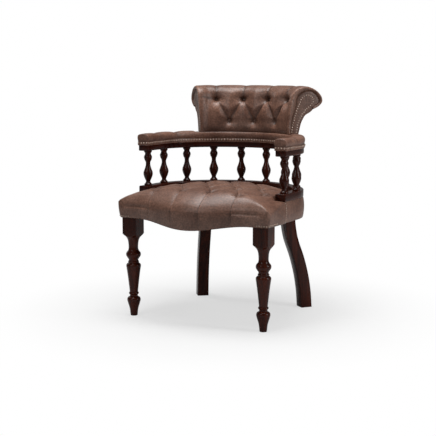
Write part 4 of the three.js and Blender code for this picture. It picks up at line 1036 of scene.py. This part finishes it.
# %% Rings of the crown
MIDDLE = np.array([0.0, LEG_LINE + 0.175])
STRAIGHT_FROM = 0.70
FOLD_DEPTH, FOLD_TALL = 0.0030, 0.0065
LIP_OUT, LIP_TALL, LIP_BELOW = 0.0016, 0.003, 0.008
keep_straight = 1 - ease(np.abs(rim_x), 1.5 * PITCH_X + 0.004, 0.29)
keep_straight = np.where(rim_y < FRONT_FACE, keep_straight, 0)

outwards = rim_plan - low_plan
outwards /= np.maximum(np.linalg.norm(outwards, axis=1), 1e-9)[:, None]
folded = ease(np.abs(rim_x), 0.1, 0.2) * (1 - ease(np.abs(rim_x), 0.25, 0.277))
folded = np.where(rim_y < LEG_LINE, folded, 0)


def ring_plan(share):
    """Ring of the seat's plan. In front of the buttons its columns run straight forward."""
    straight = soft_min(np.array(1.0), np.array(share / STRAIGHT_FROM), 0.02)
    across = share + keep_straight * (straight - share) * ease(share, 0.0, 0.3)
    across = across + (1 - across) * keep_straight * ease(share, 0.8, 1.0)
    plan = MIDDLE + (rim_plan - MIDDLE) * share
    plan[:, 0] = rim_x * np.where(share >= 1, 1.0, across)
    return plan


def fold_shift(above):
    """Fold and lip by the height above the widest line, as a shift, and as painted shade in the
    fold and a painted highlight on the lip.
    """
    inside = np.exp(-(above / FOLD_TALL) ** 2)
    lip = np.exp(-((above + LIP_BELOW) / LIP_TALL) ** 2)
    shift = outwards * (folded * (LIP_OUT * lip - FOLD_DEPTH * inside))[:, None]
    return shift, folded * (0.14 * lip - 0.12 * inside)


pole = np.tile([*MIDDLE, 0.0], (len(rim_plan), 1))
pole[:, 2] = seat_height(0.0, MIDDLE[:1], MIDDLE[1:], MIDDLE[1:])[0][0]
grid, wear_and_light = [pole], [np.full(len(rim_plan), 0.66)]
to_edge = np.linspace(0, 0.9, 84)[1:]
at_edge = 1 - 0.1 * np.linspace(1, 0, 26)[1:-1] ** 1.5
for share in np.concatenate([to_edge, at_edge, [1.0]]):
    plan = ring_plan(share)
    z, crease, lip = seat_height(share, plan[:, 0], plan[:, 1], rim_y)
    shift, shade = fold_shift(z - rim_height(rim_y))
    grid.append(np.column_stack([plan + shift, z]))
    # Painted shade in the creases and round the buttons, and a painted highlight on the pleats'
    # lips.
    wear_and_light.append(0.64 - 0.6 * crease + 0.3 * lip + shade)
print("rings to the widest line", len(grid))

# %% Rings down to the hem
HEM_DROP, HEM_BOW = 0.0045, 0.0215                      # below the frame, and more at the bow
SIDE_PUFF = 0.0052
PLEAT_IN = 0.0032
UNDER_HOOP = LOWER_BOTTOM - 0.0012
edge = grid[-1]
bottom_z = FRAME_BOTTOM - HEM_DROP - HEM_BOW * bow_share(low_plan[:, 0])
bottom_z = np.where(hoop_zone, UNDER_HOOP, bottom_z)
on_side = ease(rim_y, LEG_LINE + 0.01, LAP_Y)
front_pleat = np.zeros(len(rim_plan))
for x in PLEATS_X + tuple(-x for x in PLEATS_X):
    front_pleat = np.maximum(front_pleat, fold(np.abs(rim_x - x), np.sign(rim_x - x)))
front_pleat = np.where(rim_y < FRONT_FACE, front_pleat, 0)
for f in np.concatenate([np.linspace(1, 0.7, 15)[1:], np.linspace(0.7, 0, 10)[1:]]):
    z = bottom_z + (edge[:, 2] - bottom_z) * f
    shift, shade = fold_shift(z - rim_height(rim_y))
    plan = low_plan + (rim_plan - low_plan) * math.sin(math.pi / 2 * f ** 0.8) + shift
    plan[:, 0] += np.sign(plan[:, 0]) * SIDE_PUFF * on_side * math.sin(math.pi * f)
    plan[:, 1] += PLEAT_IN * front_pleat * f ** 0.7
    tucked = edge[:, 2] + (UNDER_HOOP - edge[:, 2]) * min(1, (1 - f) * 3)
    tucked_plan = rim_plan + (under_plan - rim_plan) * max(0, (1 - f) * 1.5 - 0.5)
    plan = np.where(hoop_zone[:, None], tucked_plan, plan)
    grid.append(np.column_stack([plan, np.where(hoop_zone, tucked, z)]))
    # Painted shade in the front pleats and towards the hem, below the widest line, with the fold's
    # painted shade and the lip's painted highlight.
    wear_and_light.append(0.62 - 0.3 * front_pleat * f - 0.16 * (1 - f) + shade)
print("rings down to the hem", len(grid))

# %% Seat hide
HIDE_DEEP = 0.0022                                      # thickness of the leather
grid, wear_and_light = np.array(grid), np.array(wear_and_light)
bm = mapped_grid(grid, proud=wear_and_light)
facing_up = sum(1 for f in bm.faces if f.normal.z > 0.5)
facing_down = sum(1 for f in bm.faces if f.normal.z < -0.5)
if facing_down > facing_up:
    bmesh.ops.reverse_faces(bm, faces=bm.faces)
seat = object_from("seat_leather", bm)
thicken(seat, HIDE_DEEP)
finish_piece(seat, hide, ["seat_cover"], 70)

# %% [markdown]
# ## Covered buttons
# A button is a metal shell with leather drawn over it, sewn down through the stuffing. It is
# a dome like a nail's with more faces, in the hide's own finish, and each one of the seat
# sits at the lowest point of its hollow.

# %% Seat buttons
BUTTON_RADIUS = 0.0078
# Buttons are painted darker than the plain hide, as the shade of their hollows.
BUTTON_PAINTED_SHADE = 0.5


def covered_buttons(name, spots, height, replaces=()):
    row = domes(name, spots, BUTTON_RADIUS, height, 24, 12)
    layer = row.data.attributes.new("proud", "FLOAT", "POINT")
    layer.data.foreach_set("value", [BUTTON_PAINTED_SHADE] * len(row.data.vertices))
    return finish_piece(row, hide, replaces, 60)


places = grid.reshape(-1, 3)
spots = []
for x, y in seat_buttons:
    near = places[np.argmin(np.hypot(places[:, 0] - x, places[:, 1] - y))]
    spots.append(((x, y, float(near[2]) + 0.0005), (0, 0, 1)))
covered_buttons("seat_buttons", spots, 0.0036)

# %% [markdown]
# ## Seat band
# A second strip of the hide runs round the sides and the back of the frame, below the lower
# hoop. It swells a little between its two edges. A row of nails stands where the seat's hide
# laps over its end, and shorter rows hold the hem over each front leg.

# %% Seat band
BAND_BOTTOM = FRAME_BOTTOM - 0.003
BAND_INNER, BAND_FACE, BAND_SWELL = 0.0142, 0.0176, 0.0042
heights = np.linspace(BAND_BOTTOM, LOWER_BOTTOM - 0.0004, 17)
band_tall = heights[-1] - heights[0]
swell = [(BAND_FACE + BAND_SWELL * math.sin(math.pi * (z - heights[0]) / band_tall) ** 0.8, z)
         for z in heights]
inner = [(BAND_INNER, heights[0]), (BAND_INNER, heights[-1])]
band_section = np.array([inner[0]] + swell + [inner[1], inner[0]])
places, uv = along_hoop(band_section, hoop_stations(0.008, HALF_LENGTH - 0.0055))
proud = PLAIN_WEAR - 0.2 * np.exp(-(places[..., 2] - BAND_BOTTOM) / 0.008)
band = object_from("seat_band_leather", mapped_grid(places, proud=proud, uv=uv, cap=True))
finish_piece(band, hide, ["seat_band"], 60)

# %% Seat nails
HEM_NAIL = 0.0065                                       # height of the nails over the hem
HEM_PITCH = 0.0086
spots = []
for side, _ in SIDES:
    for z in np.linspace(BAND_BOTTOM + 0.005, LOWER_BOTTOM - 0.005, 9):
        share = (z - BAND_BOTTOM) / (LOWER_BOTTOM - BAND_BOTTOM)
        lift = 0.0188 + 0.0048 * math.sin(math.pi * share) ** 0.8
        spots.append(((side * (HALF_WIDTH + lift), LAP_Y - 0.0035, z), (side, 0, 0)))
nail_row("seat_nails_sides", spots, 0.0028, 0.0017)

low_edge, above = grid[-1], grid[-4]
share = np.clip(HEM_NAIL / np.maximum(above[:, 2] - low_edge[:, 2], 1e-4), 0, 1)[:, None]
nail_line = low_edge + (above - low_edge) * share
spots = []
for side, _ in SIDES:
    over_leg = (nail_line[:, 0] * side > 0.247) & (nail_line[:, 1] < LEG_LINE + 0.035) & ~hoop_zone
    run = nail_line[over_leg]
    order = np.argsort(np.arctan2(run[:, 1] - LEG_LINE, (run[:, 0] * side - LEG_X)))
    for place in spaced(run[order], HEM_PITCH):
        across, ahead = place[0] * side - (LEG_X + BLANK_HALF), FRONT_FACE - place[1]
        out = Vector((side * max(across, 0), -max(ahead, 0), 0)).normalized()
        spots.append((place + np.array(out) * 0.0004, out))
nail_row("seat_nails_corners", spots, 0.0029, 0.0018)

# %% [markdown]
# ## Back rest
# The back is one more hide, pulled over a scroll. It could be sculpted from a block, but a
# section that is turned about the back's centre keeps it an even sheet. The section runs
# from the foot up over the crest and round the scroll to its under side. Its knots are given
# once for the middle and once for the ends, where the scroll is fuller.

# %% Back sections
FOOT_RADIUS = 0.271
FOOT_Z = PAD_TOP - 0.004
BACK_HEIGHT = 0.174
SECTION = 121                                           # points on every section
# each knot is mm outside the foot's radius, and a share of the back's height
MIDDLE_KNOTS = [(0, 0), (-4, 0.1), (-3, 0.24), (-2, 0.4), (0, 0.56), (3, 0.7), (7, 0.8),
                (17, 0.885), (36, 0.96), (60, 0.996), (82, 0.962), (103, 0.89), (118, 0.79),
                (122, 0.71), (119, 0.65), (109, 0.59), (90, 0.52)]
END_KNOTS = [(-8, 0), (-9, 0.13), (-8, 0.3), (-6, 0.47), (-3, 0.61), (1, 0.73), (10, 0.86),
             (30, 0.952), (60, 0.988), (84, 0.958), (106, 0.885), (120.5, 0.79), (125, 0.71),
             (123, 0.645), (114, 0.588), (103, 0.547), (90, 0.517)]
FACING_KNOTS = [(2, 0.005), (7, 0.235), (12, 0.385), (21, 0.53), (25, 0.63), (27, 0.75),
                (37, 0.83), (54, 0.885), (73, 0.9), (85, 0.888), (97, 0.84), (107, 0.775),
                (112, 0.708), (109, 0.655), (101, 0.615), (87, 0.56)]
REAR_KNOTS = [(33, 0.002), (38, 0.13), (43, 0.235), (51, 0.33), (60, 0.4), (78, 0.46), (88, 0.512)]


def back_line(knots, count=SECTION):
    """Smooth section of (radius, height) with evenly spaced points."""
    line = smooth_line([(FOOT_RADIUS + r / 1000, FOOT_Z + up * BACK_HEIGHT) for r, up in knots], 8)
    return resample(line, count)


def around_back(angle, line):
    """Points of a section turned to an angle about the back's centre."""
    radius, z = line[..., 0], line[..., 1]
    return np.stack([radius * np.sin(angle), CENTRE_Y + radius * np.cos(angle), z], axis=-1)


def on_end(side, line, depth):
    """Points of a section on a plane parallel to an end face, some depth inside it."""
    radius, z = line[..., 0], line[..., 1]
    along = np.sqrt(np.maximum(radius ** 2 - depth ** 2, 0))
    x = along * math.sin(BACK_ANGLE) - depth * math.cos(BACK_ANGLE)
    y = CENTRE_Y + along * math.cos(BACK_ANGLE) + depth * math.sin(BACK_ANGLE)
    return np.stack([side * x, y, z], axis=-1)


middle_line, end_line, facing_line, rear_line = (
    back_line(knots) for knots in (MIDDLE_KNOTS, END_KNOTS, FACING_KNOTS, REAR_KNOTS))
climb = walked(middle_line)                             # metres up the leather from the foot
tangent = np.gradient(middle_line, axis=0)
tangent /= np.linalg.norm(tangent, axis=1)[:, None]
inward = np.stack([tangent[:, 1], -tangent[:, 0]], axis=1)
CREST = float(climb[np.argmax(middle_line[:, 1])])
print(f"{climb[-1]:.3f} m of leather from foot to scroll, crest at {CREST:.3f} m")

# %% [markdown]
# ## The back's pull
# Seven deep buttons sit in two rows. Pleats run from each lower button to the upper ones
# beside it, from the upper ones over the crest, and from the outer ones to the ends. The
# stuffing that they push aside stands out a little below each button. A cloth simulation
# would choose its own folds. A depth, found from the distance to each button and pleat,
# puts them where the photograph has them, as on the seat.

# %% Back buttons and pleats
TUFT = math.radians(20)                                 # from one button of a row to the next
SPAN = 0.285                                            # radius at which gaps are measured
LOWER_SHARE, UPPER_SHARE = 0.2356, 0.7184               # rows as shares of the back's height
LOWER_TUFT, UPPER_TUFT = 0.0175, 0.036                  # how deep the buttons draw
OVER_CREST, PAST_CREST = CREST - 0.012, CREST + 0.06


def climb_at(up):
    rising = slice(0, 60)                               # the part of the section that only rises
    height = FOOT_Z + up * BACK_HEIGHT
    return float(np.interp(height, middle_line[rising, 1], climb[rising]))


LOWER_ROW, UPPER_ROW = climb_at(LOWER_SHARE), climb_at(UPPER_SHARE)
back_buttons = [(k * TUFT, LOWER_ROW, LOWER_TUFT) for k in (-1, 0, 1)]
back_buttons += [(k * TUFT, UPPER_ROW, UPPER_TUFT) for k in (-1.5, -0.5, 0.5, 1.5)]
back_pleats = [(k * TUFT, LOWER_ROW, (k + half) * TUFT, UPPER_ROW, 0.008, 0.016)
               for k in (-1, 0, 1) for half in (-0.5, 0.5)]     # from, to, depth at both
for k in (-1.5, -0.5, 0.5, 1.5):
    back_pleats.append((k * TUFT, UPPER_ROW, k * TUFT, OVER_CREST, 0.013, 0.0030))
    back_pleats.append((k * TUFT, OVER_CREST, k * TUFT, PAST_CREST, 0.0030, 0.0008))
for side in (-1, 1):
    to_end = (side * BACK_ANGLE * 1.05, UPPER_ROW + 0.004)
    back_pleats.append((side * 1.5 * TUFT, UPPER_ROW, *to_end, 0.009, 0.003))
print(len(back_buttons), "buttons in rows at", f"{LOWER_ROW:.3f} and {UPPER_ROW:.3f} m,",
      len(back_pleats), "pleats")

# %% Depth of the back's pull
PLEAT_WIDE, PLEAT_NARROW = 0.015, 0.004
WELL = {LOWER_TUFT: 0.024, UPPER_TUFT: 0.031}           # width of the hollow round a button
PILLOW = {LOWER_TUFT: 0.022, UPPER_TUFT: 0.031}         # how far below it the hide stands out
PILLOW_OUT = 0.0035


def back_pull(angle, along):
    """How deep the hide is drawn, how far in a crease it is, and how far on a full part."""
    depth, crease, full = (np.zeros_like(along) for _ in range(3))
    for a0, l0, a1, l1, d0, d1 in back_pleats:
        gap, t, _ = line_gap(SPAN * angle, along, (SPAN * a0, l0), (SPAN * a1, l1))
        shape = 0.68 * np.exp(-(gap / PLEAT_WIDE) ** 2) + 0.32 * np.exp(-gap / PLEAT_NARROW)
        depth = np.maximum(depth, (d0 + (d1 - d0) * t) * shape)
        crease = np.maximum(crease, 0.75 * np.exp(-gap / PLEAT_NARROW))
    for a0, l0, deep in back_buttons:
        across = SPAN * (angle - a0)
        gap = np.hypot(across, along - l0)
        shape = 0.66 * np.exp(-(gap / WELL[deep]) ** 1.5) + 0.34 * np.exp(-(gap / 0.0085) ** 2)
        depth = np.maximum(depth, deep * shape)
        crease = np.maximum(crease, np.exp(-(gap / 0.009) ** 1.5))
        below = PILLOW[deep]
        gap = np.hypot(across, (along - l0 + below) * 0.9)
        full = np.maximum(full, np.exp(-(gap / (0.62 * below)) ** 2))
    return depth - PILLOW_OUT * full, crease, full


print(f"buttons draw {LOWER_TUFT * 1000:.1f} and {UPPER_TUFT * 1000:.1f} mm")

# %% [markdown]
# ## The back's ends
# At both ends the leather rolls over a narrow lip onto the end face, where the facing covers
# its raw edge. The lip stands further out higher up, and one pleat crosses it. A bevel would
# round the edge, but evenly. So a few more columns of the hide's grid make the roll, from
# the end's section in to the facing's.

# %% Columns of the ends
EDGE_START = 0.006                                      # where the roll begins, inside the end
EDGE_ROUND = 0.005
FACING_DEPTH = 0.0016                                   # of the facing under the end face
LIP_LOW, LIP_MORE = 0.0012, 0.0056                      # how far the lip stands out
END_PLEAT_Z = 0.768


def roll_columns(side):
    """The leather turns over a narrow lip at the end, and falls back from it to the facing."""
    made, wear_light = [], []
    across = facing_line - end_line
    wide = np.linalg.norm(across, axis=1)
    across = across / wide[:, None]
    rounding = np.minimum(EDGE_ROUND, 0.45 * wide)
    proud_by = LIP_LOW + LIP_MORE * ease(end_line[:, 1], FOOT_Z + 0.03, FOOT_Z + 0.12)
    in_front = np.arange(SECTION) < SECTION * 0.6
    pleat = np.exp(-np.abs(end_line[:, 1] - END_PLEAT_Z) / 0.0022) * in_front
    for turn in np.linspace(0, math.pi / 2, 7):
        step = rounding * (1 - math.cos(turn)) + 0.0012 * pleat
        depth = EDGE_START - (EDGE_START + proud_by - 0.0018 * pleat) * math.sin(turn)
        made.append(on_end(side, end_line + across * step[:, None], depth))
        # Painted highlight towards the lip, and painted shade in the pleat.
        wear_light.append(0.62 + 0.2 * math.sin(turn) - 0.4 * pleat)
    for share in np.linspace(0, 1, 7)[1:]:
        step = rounding + (wide - rounding) * share
        depth = -proud_by + (proud_by + FACING_DEPTH) * share ** 1.7 + 0.0015 * pleat * (1 - share)
        made.append(on_end(side, end_line + across * step[:, None], depth))
        # Painted shade falling off towards the facing and in the pleat.
        wear_light.append(0.7 - 0.3 * share - 0.4 * pleat * (1 - share))
    made.append(on_end(side, facing_line, EDGE_START))
    # Painted shade along the facing's edge.
    wear_light.append(np.full(SECTION, 0.2))
    return made, wear_light


left, left_wear_light = roll_columns(-1)
right, right_wear_light = roll_columns(1)
print(len(right), "columns at each end")

# %% [markdown]
# ## The back's hide
# Between the ends, each column is the middle section, drawn in by the buttons and pleats,
# and it blends into the end's section over the last part of the turn. The rolled ends could
# be pieces of their own, but one grid leaves no seam where the real hide has none. The hide
# is a little lighter half way up. It is painted darker in the creases, round the buttons
# and along the foot, as shade, and lighter on the full parts below the buttons, as a
# painted highlight.

# %% Back hide
edge_angle = BACK_ANGLE - math.asin(EDGE_START / FOOT_RADIUS) - 0.002
columns, wear_and_light = [], []
for angle in np.linspace(-edge_angle, edge_angle, 161):
    blend = float(ease(abs(angle) / BACK_ANGLE, 0.84, 0.97))
    depth, crease, full = back_pull(np.full(SECTION, angle), climb)
    line = middle_line + inward * (depth * (1 - 0.5 * blend))[:, None]
    kept = 0.55 * crease[:, None] * (abs(angle) < edge_angle - 1e-6)
    line = line + (end_line - line) * blend * (1 - kept)
    columns.append(around_back(angle, line))
    # A little lighter half way up, painted shade along the foot and in the creases, and a painted
    # highlight on the full parts below the buttons.
    puff = 0.1 * np.exp(-((climb - 0.09) / 0.05) ** 2) - 0.3 * np.exp(-climb / 0.018)
    wear_and_light.append(PLAIN_WEAR - 0.6 * crease + puff + 0.35 * full)
bm = mapped_grid(np.array(left[::-1] + columns + right),
                 proud=np.array(left_wear_light[::-1] + wear_and_light + right_wear_light))
in_front = Vector((0, CENTRE_Y + 0.27, 0.7))
middle_face = min(bm.faces, key=lambda f: (f.calc_center_median() - in_front).length)
if middle_face.normal.y > 0:
    bmesh.ops.reverse_faces(bm, faces=bm.faces)
back = object_from("back_leather", bm)
thicken(back, HIDE_DEEP)
finish_piece(back, hide, ["back_cover"], 70)

# %% [markdown]
# ## Back buttons
# Each covered button sits in its well, square to the leather there and a little proud of
# it. They could be one piece, as the seat's are, but each one stands for its own CAD node.

# %% Back buttons
for number, (angle, along, _) in enumerate(back_buttons):
    depth, _, _ = back_pull(np.full(SECTION, angle), climb)
    line = middle_line + inward * depth[:, None]
    k = int(np.argmin(np.abs(climb - along)))
    flat = -inward[k]
    out = Vector((flat[0] * math.sin(angle), flat[0] * math.cos(angle), flat[1]))
    spot = Vector(around_back(angle, line[k])) + out * 0.0004
    covered_buttons(f"covered_back_button_{number + 1:02d}", [(spot, out)], 0.0038,
                    [f"back_button_{number + 1:02d}"])

# %% [markdown]
# ## Back facings
# A facing is a thin board covered in hide and nailed over the end of the scroll. A flat
# plate would look like card, so it is a sheet that puffs out a little between its front
# line and the rear line. Its finish is darker. Its nails follow the front line round the
# scroll and back.

# %% Back facings
FACING_THICK = 0.0025
FACING_WEAR = 0.55
for side, word in SIDES:
    rows = []
    for w in np.linspace(0, 1, 13):
        puff = 0.0016 * math.sin(math.pi * min(max(w, 0.02), 0.98)) ** 0.6
        rows.append(on_end(side, facing_line + (rear_line - facing_line) * w, FACING_DEPTH - puff))
    rows = np.array(rows)
    bm = mapped_grid(rows, proud=np.full(rows.shape[:2], FACING_WEAR))
    face = bm.faces[:][len(bm.faces) // 2]
    outward = Vector((side * math.cos(BACK_ANGLE), -math.sin(BACK_ANGLE), 0))
    if face.normal.dot(outward) < 0:
        bmesh.ops.reverse_faces(bm, faces=bm.faces)
    facing = object_from(f"facing_leather_{word}", bm)
    thicken(facing, FACING_THICK)
    finish_piece(facing, hide_dark, [f"back_facing_{word}"], 60)

# %% Facing nails
FACING_PITCH = 0.0088
FACING_NAILS = [                                       # radius and height in mm
    (278, 647), (281, 666), (284, 681), (289, 698), (293, 710), (296, 722), (301, 734),
    (304, 742), (310, 754), (313, 763), (318, 770), (325, 775), (335, 779), (345, 779),
    (355, 774), (361, 766), (362, 757), (355, 748), (345, 737), (337, 732), (331, 728),
    (326, 720), (320, 713), (313, 701), (308, 693), (304, 684), (300, 676), (299, 665),
    (297, 655), (296, 647),
]
for side, word in SIDES:
    outward = (side * math.cos(BACK_ANGLE), -math.sin(BACK_ANGLE), 0)
    spots = [(tuple(on_end(side, place, FACING_DEPTH - 0.0004)), outward)
             for place in spaced(np.array(FACING_NAILS) / 1000, FACING_PITCH)]
    nail_row(f"facing_nails_{word}", spots, 0.0031, 0.0019)

# %% [markdown]
# ## Back outside
# A plain hide closes the rear of the back rest below the scroll. A bare surface would have
# no edge at the scroll. So the rear line and the same line a little inside it make one
# section, which is turned about the back's centre and capped at both ends.

# %% Back outside
OUTSIDE_THICK = 0.0028
outside_line = back_line(REAR_KNOTS, 41)
normal = np.gradient(outside_line, axis=0)
normal /= np.linalg.norm(normal, axis=1)[:, None]
inner = outside_line + np.stack([-normal[:, 1], normal[:, 0]], axis=1) * OUTSIDE_THICK
loop = np.vstack([outside_line, inner[::-1], outside_line[:1]])
wide = BACK_ANGLE - math.asin(0.004 / FOOT_RADIUS)
columns = [on_end(-1, loop, 0.0)]
columns += [around_back(angle, loop) for angle in np.linspace(-wide, wide, 91)]
columns += [on_end(1, loop, 0.0)]
outside = object_from("back_outside_leather", mapped_grid(np.array(columns), cap=True))
finish_piece(outside, hide, ["back_outside"], 50)
